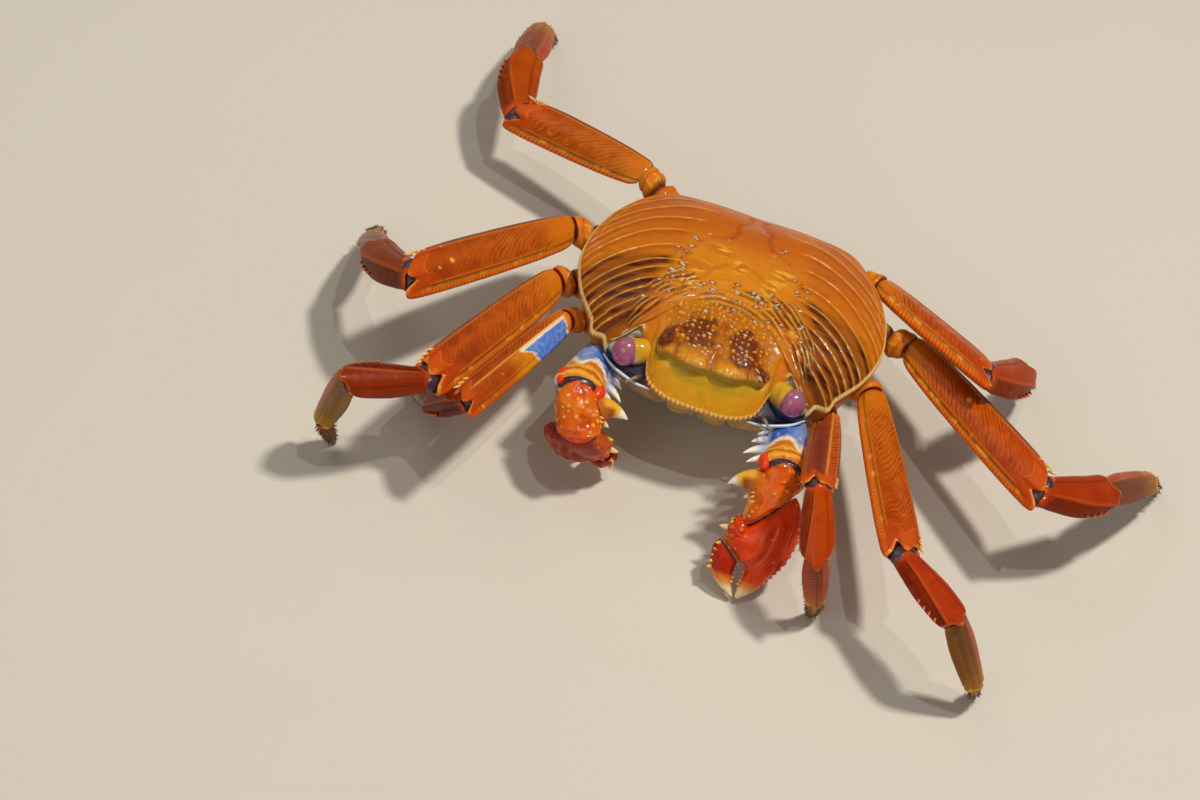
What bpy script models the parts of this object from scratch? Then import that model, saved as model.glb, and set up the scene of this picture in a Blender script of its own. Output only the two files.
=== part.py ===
"""A shore crab (Sally Lightfoot crab, Grapsus grapsus), life size, standing on its eight walking legs.

The crab faces -Y, its left side is at +X, and the floor that its feet stand on is z = 0.
Lengths below are in millimetres and become metres where a mesh is made.
Each shell plate is one solid. Neighbouring plates face each other across a gap of 0.3 mm.
"""

from math import cos, radians, sin, tau

import bmesh
import bpy
from mathutils import Matrix, Vector

MM = 0.001
GAP = 0.3

# The trunk is modelled level, about the middle of its side margin, then lifted and tipped nose up.
BODY_LIFT = 33.0
BODY_PITCH = 6.0
BODY_STANCE = Matrix.Translation((0, 0, BODY_LIFT)) @ Matrix.Rotation(-radians(BODY_PITCH), 4, "X")

# Left half of the shell's edge, which the right half mirrors, from the middle of the front to the middle
# of the back: x, y, height, and into how many steps the stretch to the next point is divided.
MARGIN = (
    (0.0, -28.6, -7.0, 2),
    (8.0, -28.2, -6.8, 2),
    (13.6, -25.8, -5.4, 1),
    (15.6, -22.0, -2.4, 1),
    (17.6, -18.6, 0.2, 1),
    (20.2, -17.4, 0.6, 1),
    (23.3, -19.2, -1.2, 1),
    (26.3, -21.4, -4.2, 1),
    (28.0, -18.4, -3.4, 1),
    (31.2, -18.4, -2.9, 1),
    (32.6, -14.2, -2.0, 1),
    (37.2, -7.0, -0.6, 2),
    (40.0, 3.0, 0.3, 2),
    (39.2, 14.0, 1.0, 2),
    (35.5, 25.0, 1.2, 2),
    (30.0, 34.0, 1.0, 1),
    (24.5, 38.8, 0.8, 1),
    (14.0, 40.8, 0.5, 2),
    (0.0, 41.1, 0.5, 0),
)
SHELL_TOP = 9.6
SHELL_RINGS = (0.2, 0.42, 0.62, 0.76, 0.865, 0.93, 0.975, 1.0)
BROW_RING = 0.885
BROW_HEIGHT = 5.4
BROW_HALF_WIDTH = 12.0
BROW_SIDE = 4.5
BROW_CURVE = 2.6
DOME_START = 2.3
DOME_END = 0.72
SHELL_EDGE = 1.0
SHELL_FLOOR = -2.0
SEAM = 0.6
SEAM_RING = 0.5

# Rings of the underside, from the cheeks down to the breastplate:
# share of the cheek outline across and behind, share of it in front, height.
TRUNK_RIM = 0.93
TRUNK_RINGS = ((0.96, 0.9, -12.0), (0.87, 0.76, -16.5), (0.72, 0.6, -20.5), (0.52, 0.44, -22.6))
TRUNK_BOTTOM = -23.0
CHEEK_HEIGHT = -6.6
CHEEK_FRONT = -27.0
CHEEK_CURVE = 0.0085
CHEEK_BEHIND = -14.0
CHEEK_SHARE = 0.97
CHEEK_DROP = 2.2
MOUTH_FRONT = -22.6
MOUTH_HALF_WIDTH = 12.0
MOUTH_CORNER = 2.5
FLANK_SHARE = 0.94

EYE_CENTRE = (20.0, -20.6, -2.4)
EYE_SIZE = (5.0, 3.1, 3.3)
EYE_YAW = -28.0

# Sweeps on the trunk: path points, then the full width and depth at each of them.
PLEON_PATH = (
    (40.7, -2.4), (40.6, -7.0), (39.3, -12.0), (36.9, -17.0),
    (30.0, -22.0), (20.5, -24.4), (8.0, -24.9), (-3.0, -24.9),
)
PLEON_WIDTHS = (22.0, 23.0, 20.0, 17.0, 14.5, 12.0, 8.5, 3.6)
PLEON_DEPTH = 1.6
MAXILLIPED_PATH = ((4.4, -22.8, -10.6), (4.5, -21.3, -13.6), (4.7, -18.1, -17.6), (4.9, -13.9, -21.8))
MAXILLIPED_WIDTHS = (4.6, 6.4, 6.0, 4.6)
MAXILLIPED_DEPTH = 1.6
ANTENNA_PATH = ((16.0, -25.8, -4.9), (16.8, -27.0, -4.6), (17.8, -28.3, -4.5), (18.8, -29.4, -4.9))
ANTENNA_WIDTHS = (1.6, 1.3, 0.9, 0.6)

# Walking legs: where the merus starts, the way its broad faces look, then length, yaw and pitch of the
# merus, carpus and propodus, then yaw and pitch of the dactylus, which ends on the floor.
LEGS = {
    "l1": (
        (31.8, -12.6, 23.6), (0.05, -0.62, 0.78),
        (42.8, -87, 24), (16.7, -66, -44), (20.0, 39, -76), (81, -69),
    ),
    "l2": (
        (40.5, -2.8, 26.0), (0.30, -0.45, 0.85),
        (56.3, -71, 6), (21.5, -42, 0), (23.5, 4, -63), (74, -61),
    ),
    "l3": (
        (46.8, 18.3, 25.0), (0.0, -0.45, 0.89),
        (57.0, -44, 7), (23.0, 39, -19), (27.0, 59, -29), (67, -49),
    ),
    "l4": (
        (35.0, 33.6, 27.2), (0.45, 0.0, 0.89),
        (43.2, -41, 13), (18.6, 55, -29), (24.6, 82, -45), (80, -52),
    ),
    "r1": (
        (-38.3, -10.2, 24.8), (-0.1, -0.45, 0.89),
        (48.5, -109, 11), (17.6, 133, -48), (21.3, 111, -42), (114, -42),
    ),
    "r2": (
        (-43.9, 0.6, 25.8), (0.0, -0.45, 0.89),
        (56.0, -112, 7), (20.9, -147, 8), (23.7, 130, -73), (58, -66),
    ),
    "r3": (
        (-45.0, 20.3, 24.8), (0.0, -0.45, 0.89),
        (57.0, -126, 13), (22.2, 127, -31), (26.2, 102, -40), (91, -38),
    ),
    "r4": (
        (-31.8, 44.0, 28.4), (0.0, -0.45, 0.89),
        (40.2, 160, -9), (20.4, 100, 0), (27.0, 90, -24), (69, -51),
    ),
}
# Where each pair's hips leave the trunk, for the left side.
HIP_ROOTS = {"1": (21.0, 1.0, 19.0), "2": (23.0, 11.0, 20.0), "3": (22.0, 22.5, 20.5), "4": (15.5, 34.5, 21.5)}
SEGMENTS = ("hip", "merus", "carpus", "propodus", "dactylus")
# Full widths of each pair's segments, and the full depth of each segment.
LEG_WIDTHS = {
    "1": (7.1, 9.6, 8.2, 7.0, 4.6),
    "2": (8.7, 11.8, 8.6, 8.0, 5.0),
    "3": (9.2, 12.4, 10.2, 8.8, 5.4),
    "4": (8.6, 11.6, 10.4, 9.4, 5.2),
}
LEG_DEPTHS = (7.0, 5.6, 5.6, 4.4, 3.5)
# How far a limb thins in depth where it narrows: 0 keeps the full depth, 1 thins as much as it narrows.
DEPTH_TAPER = 0.55
# Whether the carpus of each pair bulges to the outside of the knee, by the shifts in CARPUS_SHAPE.
KNEE_BULGE = {"1": 0.0, "2": 0.0, "3": 1.0, "4": 1.0}

# Outline of each leg segment: share of its length, share of its width, shift towards the outside of the knee.
LEG_SHAPES = {
    "hip": ((0.0, 0.86, 0.0), (0.3, 1.0, 0.0), (0.62, 0.96, 0.0), (0.7, 0.8, 0.0), (1.0, 0.84, 0.0)),
    "merus": (
        (0.0, 0.62, 0.0), (0.06, 0.74, 0.0), (0.25, 0.88, 0.0), (0.55, 0.97, 0.0), (0.8, 1.0, 0.0),
        (0.94, 0.97, 0.0), (1.0, 0.86, 0.0),
    ),
    "carpus": ((0.0, 0.74, 0.0), (0.22, 0.9, 0.06), (0.6, 1.08, 0.13), (0.86, 1.04, 0.08), (1.0, 0.9, 0.0)),
    "propodus": ((0.0, 0.86, 0.0), (0.35, 1.0, 0.0), (0.8, 0.86, 0.0), (1.0, 0.72, 0.0)),
    "dactylus": ((0.0, 0.95, 0.0), (0.4, 0.78, 0.0), (0.8, 0.5, 0.0), (1.0, 0.34, 0.0)),
}
LEG_SIDES = 10
LEG_KEEL = 1.12

# Claw arms: root, shoulder, elbow and hand hub, the ways that the hand points and its outer face looks,
# and the way that the wrist's joint plane faces.
ARMS = {
    "l": (
        (12.0, -12.0, 16.0), (22.4, -15.6, 22.6), (25.0, -38.0, 28.0), (24.9, -46.6, 20.0),
        (-0.06, -0.59, -0.80), (0.02, -0.80, 0.60), (0.75, -0.41, -0.53),
    ),
    "r": (
        (-12.0, -12.0, 16.0), (-26.0, -13.6, 23.0), (-29.2, -33.4, 27.5), (-25.6, -41.5, 21.0),
        (0.06, 0.46, -0.885), (0.0, -0.88, -0.47), (0.26, -0.23, -0.94),
    ),
}
ARM_SIDES = 12
ARM_FACE = (0.0, -0.3, 0.95)
WRIST_SETBACK = 1.1
# Each arm segment: its shape as for the legs, full width, full depth, and spines along its inner edge as
# share of its length, reach inwards, reach forwards, base radius.
ARM_SEGMENTS = {
    "hip": (((0.0, 0.9, 0.0), (0.4, 1.0, 0.0), (1.0, 0.9, 0.0)), 8.0, 7.6, ()),
    "merus": (
        ((0.0, 0.62, 0.0), (0.3, 0.74, 0.0), (0.7, 0.92, 0.0), (0.92, 1.0, 0.0), (1.0, 0.96, 0.0)), 12.6, 9.0,
        ((0.5, 3.4, 1.4, 1.1), (0.72, 5.6, 3.0, 1.3), (0.88, 4.6, 2.8, 1.1)),
    ),
    "carpus": (
        ((0.0, 0.8, 0.0), (0.3, 1.0, 0.0), (0.7, 1.0, 0.0), (1.0, 0.84, 0.0)), 12.0, 10.0,
        ((0.5, 7.4, 2.4, 1.8),),
    ),
}
SPINE_ROOT = 1.4
SPINE_TIP = 0.25
# How much wider than a limb its socket in the trunk is, on every side.
SOCKET_ROOM = 0.45
POCKET_ROOM = 0.9

# The hand lies along u, its length, and v, across it, positive towards the lower, fixed finger.
# Stations of the palm with its fixed finger: u, least v, greatest v, thickness, share of the wrist's lean.
PALM = (
    (-0.6, -4.4, 4.8, 5.0, 1.0),
    (2.4, -6.6, 7.6, 8.4, 0.55),
    (6.0, -8.3, 9.1, 9.6, 0.27),
    (9.6, -7.0, 8.7, 9.0, 0.1),
    (11.6, -5.2, 7.8, 8.4, 0.0),
    (13.4, -1.6, 7.0, 7.4, 0.0),
    (14.6, -0.3, 6.4, 6.4, 0.0),
    (17.5, -0.1, 4.8, 4.8, 0.0),
    (20.4, -0.2, 2.8, 3.4, 0.0),
    (22.3, -0.1, 1.0, 1.8, 0.0),
)
# Stations of the movable finger: u at v = 0, least v, greatest v, thickness, lean.
FINGER = (
    (15.7, -9.0, -2.6, 5.4, -0.64),
    (15.9, -9.9, -2.6, 6.2, -0.35),
    (16.4, -9.4, -2.6, 5.8, -0.1),
    (18.6, -7.8, -2.4, 4.6, 0.0),
    (20.6, -5.2, -1.6, 3.2, 0.0),
    (22.3, -1.6, -0.5, 1.8, 0.0),
)
PALM_SIDES = 14
FINGER_SIDES = 12
# u and v of its base, reach, base radius.
PALM_SPINE = (6.4, -6.8, 3.4, 1.0)

MATERIALS = {
    "carapace": ((0.60, 0.22, 0.03, 1.0), 0.32),
    "leg": ((0.62, 0.10, 0.01, 1.0), 0.30),
    "claw": ((0.45, 0.03, 0.01, 1.0), 0.25),
    "underside": ((0.62, 0.45, 0.24, 1.0), 0.45),
    "eye": ((0.45, 0.08, 0.26, 1.0), 0.15),
    "feeler": ((0.20, 0.09, 0.04, 1.0), 0.50),
}


def clear_scene():
    for old in list(bpy.data.objects):
        bpy.data.objects.remove(old)


def material(name):
    found = bpy.data.materials.get(name)
    if found:
        return found
    made = bpy.data.materials.new(name)
    made.use_nodes = True
    colour, roughness = MATERIALS[name]
    shader = made.node_tree.nodes["Principled BSDF"]
    shader.inputs["Base Color"].default_value = colour
    shader.inputs["Roughness"].default_value = roughness
    shader.inputs["Metallic"].default_value = 0.0
    return made


def collection(name, hidden=False):
    made = bpy.data.collections.new(name)
    bpy.context.scene.collection.children.link(made)
    made.hide_render = hidden
    return made


def heading(yaw, pitch):
    """Unit vector at this yaw from +X and this pitch above level, in degrees."""
    yaw, pitch = radians(yaw), radians(pitch)
    return Vector((cos(yaw) * cos(pitch), sin(yaw) * cos(pitch), sin(pitch)))


def across(axis, face):
    """(broad, normal): unit vectors across a limb whose broad face looks as nearly along face as it can."""
    normal = (face - axis * face.dot(axis)).normalized()
    return normal.cross(axis), normal


def catmull_rom(a, b, c, d, t):
    return 0.5 * (2 * b + (c - a) * t + (2 * a - 5 * b + 4 * c - d) * t**2 + (3 * b - a - 3 * c + d) * t**3)


def smooth_steps(points, steps):
    """Points along a smooth curve through these points; stretch i is divided into steps[i]."""
    found = []
    for i in range(len(points) - 1):
        before = points[max(i - 1, 0)]
        after = points[min(i + 2, len(points) - 1)]
        found += [catmull_rom(before, points[i], points[i + 1], after, k / steps[i]) for k in range(steps[i])]
    return found + [points[-1]]


def blend(low, high, value):
    """0 below low, 1 above high, and smooth between them; low may be the greater."""
    t = min(max((value - low) / (high - low), 0.0), 1.0)
    return t * t * (3 - 2 * t)


def build_object(name, mesh_data, origin, look, parent, home):
    """A named object at its origin, made from a bmesh in the crab's own millimetres."""
    bmesh.ops.translate(mesh_data, verts=mesh_data.verts, vec=-origin)
    bmesh.ops.scale(mesh_data, verts=mesh_data.verts, vec=(MM, MM, MM))
    bmesh.ops.recalc_face_normals(mesh_data, faces=mesh_data.faces)
    mesh = bpy.data.meshes.new(name)
    mesh_data.to_mesh(mesh)
    mesh_data.free()
    mesh.shade_smooth()
    mesh.set_sharp_from_angle(angle=radians(40))
    made = bpy.data.objects.new(name, mesh)
    made.location = origin * MM
    made.parent = parent
    made.data.materials.append(material(look))
    home.objects.link(made)
    return made


def skin_rings(rings):
    """A bmesh closed over a stack of rings of equal count; a ring of one point closes to that point."""
    made = bmesh.new()
    rows = [[made.verts.new(point) for point in ring] for ring in rings]
    for lower, upper in zip(rows, rows[1:]):
        count = max(len(lower), len(upper))
        for i in range(count):
            j = (i + 1) % count
            below = [lower[k % len(lower)] for k in (i, j)]
            above = [upper[k % len(upper)] for k in (j, i)]
            made.faces.new(list(dict.fromkeys(below + above)))
    for end in (rows[0], rows[-1]):
        if len(end) > 2:
            made.faces.new(end)
    return made


def section(angle, half_width, half_depth, power):
    """A point of a limb's cross-section; power 1 is an ellipse, more is keeled along both edges."""
    c, s = cos(angle), sin(angle)
    return (
        half_width * abs(c) ** power * (1 if c >= 0 else -1),
        half_depth * abs(s) ** power * (1 if s >= 0 else -1),
    )


def plane_reach(point, axis, plane_point, plane_normal):
    """How far along the axis from this point the plane lies."""
    return (plane_point - point).dot(plane_normal) / axis.dot(plane_normal)


def limb(joints, shape, width, depth, face, sides, keel=1.0, swell=0.0, outside=0.0):
    """Rings of one limb segment between two joint planes, ((point, normal), (point, normal)).

    The rings spread evenly between the planes, so that the segment is mitred at both ends. swell widens
    every ring by that many millimetres, and outside is the way and the share of the shape's shifts.
    """
    (start, start_normal), (end, end_normal) = joints
    axis = (end - start).normalized()
    broad, normal = across(axis, face)
    rings = []
    for share, breadth, shift in shape:
        half_width = breadth * width / 2 + swell
        half_depth = (1 - DEPTH_TAPER * (1 - breadth)) * depth / 2 + swell
        ring = []
        for i in range(sides):
            x, y = section(tau * i / sides, half_width, half_depth, keel)
            foot = start + broad * (x + outside * shift * width) + normal * y
            near = plane_reach(foot, axis, start, start_normal)
            far = plane_reach(foot, axis, end, end_normal)
            ring.append(foot + axis * (near + (far - near) * share))
        rings.append(ring)
    return rings


def stretched(joints, before, after):
    """The same two joint planes moved out along the segment by these shares of its length."""
    (start, start_normal), (end, end_normal) = joints
    step = end - start
    return (start - step * before, start_normal), (end + step * after, end_normal)


def joint_normal(before, after):
    return (before.normalized() + after.normalized()).normalized()


def leg_joints(name):
    """The six joints of a leg, from the hip's root to the foot on the floor, as points and plane normals."""
    start, _, *lengths, (yaw, pitch) = LEGS[name]
    side = 1 if name[0] == "l" else -1
    x, y, z = HIP_ROOTS[name[1]]
    points = [Vector((side * x, y, z)), Vector(start)]
    for length, segment_yaw, segment_pitch in lengths:
        points.append(points[-1] + heading(segment_yaw, segment_pitch) * length)
    way = heading(yaw, pitch)
    points.append(points[-1] - way * (points[-1].z / way.z))
    steps = [b - a for a, b in zip(points, points[1:])]
    normals = [steps[0].normalized()]
    normals += [joint_normal(a, b) for a, b in zip(steps, steps[1:])]
    normals.append(Vector((0, 0, -1)))
    return list(zip(points, normals))


def walking_leg(name, parent, home, cutters):
    joints = leg_joints(name)
    face = Vector(LEGS[name][1])
    ways = [(b[0] - a[0]).normalized() for a, b in zip(joints, joints[1:])]
    outside = KNEE_BULGE[name[1]]
    if across(ways[2], face)[0].dot(ways[1] - ways[3]) < 0:
        outside = -outside
    widths = LEG_WIDTHS[name[1]]
    for i, part in enumerate(SEGMENTS):
        # Each plate stops half a gap short of the plane it shares with the next; the foot reaches the floor.
        start = joints[i][0] + joints[i][1] * GAP / 2
        end = joints[i + 1][0] - joints[i + 1][1] * (0 if part == "dactylus" else GAP / 2)
        ends = ((start, joints[i][1]), (end, joints[i + 1][1]))
        rings = limb(ends, LEG_SHAPES[part], widths[i], LEG_DEPTHS[i], face, LEG_SIDES, LEG_KEEL, 0.0, outside)
        build_object(f"leg_{name}_{part}", skin_rings(rings), start, "leg", parent, home)
    hip = stretched(joints[:2], 0.1, 0.1)
    socket = limb(hip, LEG_SHAPES["hip"], widths[0], LEG_DEPTHS[0], face, LEG_SIDES, LEG_KEEL, SOCKET_ROOM)
    cutters.append(skin_rings(socket))
    if name == "l1":
        # This thigh starts under the shell's edge, so the cheek has a pocket for it.
        middle = joints[1][0].lerp(joints[2][0], 0.5)
        ends = (joints[1], (middle, ways[1]))
        shape = LEG_SHAPES["merus"]
        pocket = limb(ends, shape, widths[1], LEG_DEPTHS[1], face, LEG_SIDES, LEG_KEEL, POCKET_ROOM)
        cutters.append(skin_rings(pocket))


def hand_rings(stations, hub, along, over, normal, sides, lean):
    """Rings of a hand or finger from stations of (u, least v, greatest v, thickness, share of the lean).

    lean is how fast u falls with v and with height above the hand's middle plane.
    """
    rings = []
    for u, low, high, thickness, slant in stations:
        ring = []
        for i in range(sides):
            x, y = section(tau * i / sides, (high - low) / 2, thickness / 2, 1.0)
            v = (low + high) / 2 + x
            reach = u - slant * (lean[0] * v + lean[1] * y)
            ring.append(hub + along * reach + over * v + normal * y)
        rings.append(ring)
    return rings


def spine(base, tip, radius):
    """A closed cone, for a spine that is joined to its plate."""
    made = bmesh.new()
    way = tip - base
    turn = Vector((0, 0, 1)).rotation_difference(way).to_matrix().to_4x4()
    place = Matrix.Translation(base + way / 2) @ turn
    bmesh.ops.create_cone(
        made, cap_ends=True, segments=7, radius1=radius, radius2=SPINE_TIP, depth=way.length, matrix=place
    )
    return made


def combine(target, operation, tool_data, name, parent, tools):
    """Cuts this shape from the plate or joins it on; the shape itself stays among the cutters."""
    tool = build_object(name, tool_data, Vector(), "claw", parent, tools)
    tool.hide_render = True
    tool.display_type = "WIRE"
    step = target.modifiers.new(name, "BOOLEAN")
    step.operation = operation
    step.object = tool


def arm_joints(name):
    """The root, shoulder, elbow and wrist of a claw arm, as points and plane normals."""
    root, shoulder, elbow, hub, along, _, wrist_face = (Vector(value) for value in ARMS[name])
    wrist = hub - along.normalized() * WRIST_SETBACK
    points = (root, shoulder, elbow, wrist)
    steps = [b - a for a, b in zip(points, points[1:])]
    normals = (
        steps[0].normalized(),
        joint_normal(steps[0], steps[1]),
        joint_normal(steps[1], steps[2]),
        wrist_face.normalized(),
    )
    return list(zip(points, normals))


def claw_arm(name, parent, home, tools, cutters):
    side = 1 if name == "l" else -1
    joints = arm_joints(name)
    face = Vector(ARM_FACE)
    for i, (part, (shape, width, depth, spines)) in enumerate(ARM_SEGMENTS.items()):
        (start, start_normal), (end, end_normal) = joints[i : i + 2]
        ends = ((start + start_normal * GAP / 2, start_normal), (end - end_normal * GAP / 2, end_normal))
        rings = limb(ends, shape, width, depth, face, ARM_SIDES)
        plate = build_object(f"claw_{name}_{part}", skin_rings(rings), start, "claw", parent, home)
        way = (end - start).normalized()
        inner = across(way, face)[0] * -side
        for k, (share, reach, ahead, radius) in enumerate(spines):
            edge = start.lerp(end, share) + inner * (width / 2 - SPINE_ROOT)
            cone = spine(edge, edge + inner * reach + way * ahead, radius)
            combine(plate, "UNION", cone, f"spine_{name}_{part}_{k}", parent, tools)
    shape, width, depth, _ = ARM_SEGMENTS["hip"]
    socket = limb(stretched(joints[:2], 0.15, 0.06), shape, width, depth, face, ARM_SIDES, swell=SOCKET_ROOM)
    cutters.append(skin_rings(socket))
    # The arm folds against the cheek, which has a pocket for it.
    shape, width, depth, _ = ARM_SEGMENTS["merus"]
    ends = (joints[1], (joints[1][0].lerp(joints[2][0], 0.7), (joints[2][0] - joints[1][0]).normalized()))
    pocket = limb(ends, shape, width, depth, face, ARM_SIDES, swell=POCKET_ROOM)
    cutters.append(skin_rings(pocket))
    hand(name, side, parent, home, tools)


def hand(name, side, parent, home, tools):
    """The palm with its fixed finger, and the movable finger, both lying along u and across v."""
    _, _, _, hub, along, face, wrist_face = (Vector(value) for value in ARMS[name])
    along.normalize()
    normal = (face - along * face.dot(along)).normalized()
    over = along.cross(normal) * -side
    square = along.dot(wrist_face)
    lean = (over.dot(wrist_face) / square, normal.dot(wrist_face) / square)
    palm_rings = hand_rings(PALM, hub, along, over, normal, PALM_SIDES, lean)
    palm = build_object(f"claw_{name}_palm", skin_rings(palm_rings), hub, "claw", parent, home)
    u, v, reach, radius = PALM_SPINE
    edge = hub + along * u + over * v
    combine(palm, "UNION", spine(edge, edge - over * reach, radius), f"spine_{name}_palm", parent, tools)
    finger = hand_rings(FINGER, hub, along, over, normal, FINGER_SIDES, (1.0, 0.0))
    build_object(f"claw_{name}_finger", skin_rings(finger), hub, "claw", parent, home)


def half_margin():
    points = [Vector(row[:3]) for row in MARGIN]
    return smooth_steps(points, [row[3] for row in MARGIN[:-1]])


def whole_ring(half):
    """The half outline and its mirror image, as one ring round the body."""
    right = [Vector((-p.x, p.y, p.z)) for p in reversed(half[1:-1])]
    return half + right


def shell_height(edge, share):
    """Height of the shell's top at this share of the way from its middle to this point of the edge."""
    dome = SHELL_TOP + (edge.z - SHELL_TOP) * (1 - (1 - share**DOME_START) ** DOME_END)
    front = blend(BROW_HALF_WIDTH + BROW_SIDE, BROW_HALF_WIDTH, abs(edge.x)) if edge.y < 0 else 0.0
    if share <= BROW_RING:
        brow = SHELL_TOP + (BROW_HEIGHT - SHELL_TOP) * (share / BROW_RING) ** BROW_CURVE
    else:
        brow = BROW_HEIGHT + (edge.z - BROW_HEIGHT) * (share - BROW_RING) / (1 - BROW_RING)
    return dome + (brow - dome) * front


def body_place(points):
    """Level trunk coordinates turned nose up and lifted to the crab's stance."""
    return [BODY_STANCE @ point for point in points]


def at_share(ring, share, height, front_share=None):
    """The ring drawn in towards the middle, by a share of its own for the front if one is given."""
    ahead = share if front_share is None else front_share
    return [Vector((p.x * share, p.y * (ahead if p.y < 0 else share), height(p))) for p in ring]


def floor_height(edge, share):
    """Height of the shell's underside, a cone from its edge in to the middle."""
    return SHELL_FLOOR + (edge.z - SHELL_EDGE - SHELL_FLOOR) * share


def carapace(parent, home):
    edge = whole_ring(half_margin())
    rings = [[Vector((0, 0, SHELL_TOP))]]
    rings += [at_share(edge, share, lambda p, s=share: shell_height(p, s)) for share in SHELL_RINGS]
    for share in (1.0, TRUNK_RIM, SEAM_RING):
        rings.append(at_share(edge, share, lambda p, s=share: floor_height(p, s)))
    rings.append([Vector((0, 0, SHELL_FLOOR))])
    placed = [body_place(ring) for ring in rings]
    return build_object("carapace", skin_rings(placed), Vector((0, 0, BODY_LIFT)), "carapace", parent, home)


def cheek_outline(edge):
    """The trunk's own outline: it runs on below the orbits, and stands back from the edge everywhere else."""
    found = []
    for p in edge:
        if p.y < CHEEK_BEHIND:
            cheek = blend(MOUTH_HALF_WIDTH, MOUTH_HALF_WIDTH + MOUTH_CORNER, abs(p.x))
            front = MOUTH_FRONT + (CHEEK_FRONT + CHEEK_CURVE * p.x**2 - MOUTH_FRONT) * cheek
            found.append(Vector((p.x * CHEEK_SHARE, front, p.z)))
        else:
            found.append(Vector((p.x * FLANK_SHARE, p.y * FLANK_SHARE, p.z)))
    return found


def thorax(parent, home, tools, cutters):
    edge = whole_ring(half_margin())
    cheek = cheek_outline(edge)
    rings = [[Vector((0, 0, TRUNK_BOTTOM))]]
    for share, front_share, height in reversed(TRUNK_RINGS):
        rings.append(at_share(cheek, share, lambda p, z=height: z, front_share))
    rings.append(at_share(cheek, 1.0, lambda p: min(CHEEK_HEIGHT, p.z - CHEEK_DROP)))
    # From the bottom up, so that the seam's faces are split along the same diagonals as the shell's.
    for share in (TRUNK_RIM, SEAM_RING):
        rings.append(at_share(edge, share, lambda p, s=share: floor_height(p, s) - SEAM))
    rings.append([Vector((0, 0, SHELL_FLOOR - SEAM))])
    placed = [body_place(ring) for ring in rings]
    trunk = build_object("thorax", skin_rings(placed), Vector((0, 0, BODY_LIFT)), "underside", parent, home)
    for i, shape in enumerate(cutters):
        combine(trunk, "DIFFERENCE", shape, f"socket_{i}", parent, tools)


def eye_data(side, swell=0.0):
    """The eye on its stalk, an egg lying outwards in the orbit."""
    made = bmesh.new()
    bmesh.ops.create_uvsphere(made, u_segments=12, v_segments=8, radius=1.0)
    length, breadth, height = (value + swell for value in EYE_SIZE)
    x, y, z = EYE_CENTRE
    place = Matrix.Translation((side * x, y, z)) @ Matrix.Rotation(radians(side * EYE_YAW), 4, "Z")
    size = Matrix.Diagonal((length, breadth, height, 1.0))
    lie_down = Matrix.Rotation(radians(90), 4, "Y")
    bmesh.ops.transform(made, matrix=BODY_STANCE @ place @ size @ lie_down, verts=made.verts)
    return made


def sweep(path, widths, depths, face, sides):
    """Rings square to a path."""
    rings = []
    for i, point in enumerate(path):
        way = (path[min(i + 1, len(path) - 1)] - path[max(i - 1, 0)]).normalized()
        broad, normal = across(way, face)
        ring = []
        for k in range(sides):
            x, y = section(tau * k / sides, widths[i] / 2, depths[i] / 2, 1.0)
            ring.append(point + broad * x + normal * y)
        rings.append(ring)
    return rings


def trunk_sweep(name, path, widths, depths, face, sides, look, parent, home):
    placed = body_place([Vector(point) for point in path])
    data = skin_rings(sweep(placed, widths, depths, Vector(face), sides))
    return build_object(name, data, placed[0], look, parent, home)


def head_and_tail(shell, parent, home, tools, cutters):
    pleon = [(0.0, y, z) for y, z in PLEON_PATH]
    depths = [PLEON_DEPTH] * len(pleon)
    trunk_sweep("pleon", pleon, PLEON_WIDTHS, depths, (0.0, 0.7, -0.7), 12, "underside", parent, home)
    for name, side in (("l", 1), ("r", -1)):
        centre = body_place([Vector((side * EYE_CENTRE[0], *EYE_CENTRE[1:]))])[0]
        build_object(f"eye_{name}", eye_data(side), centre, "eye", parent, home)
        combine(shell, "DIFFERENCE", eye_data(side, GAP), f"orbit_{name}", parent, tools)
        cutters.append(eye_data(side, GAP))
        path = [(side * x, y, z) for x, y, z in MAXILLIPED_PATH]
        depths = [MAXILLIPED_DEPTH] * len(path)
        face = (0.0, -0.9, -0.45)
        trunk_sweep(f"maxilliped_{name}", path, MAXILLIPED_WIDTHS, depths, face, 10, "underside", parent, home)
        path = [(side * x, y, z) for x, y, z in ANTENNA_PATH]
        face = (0.0, 0.0, 1.0)
        trunk_sweep(f"antenna_{name}", path, ANTENNA_WIDTHS, ANTENNA_WIDTHS, face, 8, "feeler", parent, home)


def centre_on_floor(parent, home):
    """Moves the crab so that the middle of the box round it stands over the origin."""
    corners = [piece.location + v.co for piece in home.objects if piece.data for v in piece.data.vertices]
    for axis in (0, 1):
        values = [corner[axis] for corner in corners]
        parent.location[axis] = -(min(values) + max(values)) / 2


def main():
    clear_scene()
    home = collection("crab")
    tools = collection("cutters", hidden=True)
    parent = bpy.data.objects.new("stance", None)
    home.objects.link(parent)
    cutters = []
    shell = carapace(parent, home)
    for name in LEGS:
        walking_leg(name, parent, home, cutters)
    for name in ARMS:
        claw_arm(name, parent, home, tools, cutters)
    head_and_tail(shell, parent, home, tools, cutters)
    thorax(parent, home, tools, cutters)
    centre_on_floor(parent, home)


main()
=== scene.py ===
"""Looks for the shore crab: every shell plate rebuilt at high resolution on the CAD's own outlines.

The tables of the body, legs and claws are part.py's, in millimetres. Each plate is a grid of points whose
rings follow the CAD plate, displaced along its normals by relief (ridges, tubercles, grooves) and painted
point by point by formula. The node materials add mottling, fine bump and the wet gloss.
"""

from math import cos, pi, radians, sin, tau

import bpy
import numpy as np
from mathutils import Matrix, Vector


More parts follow.
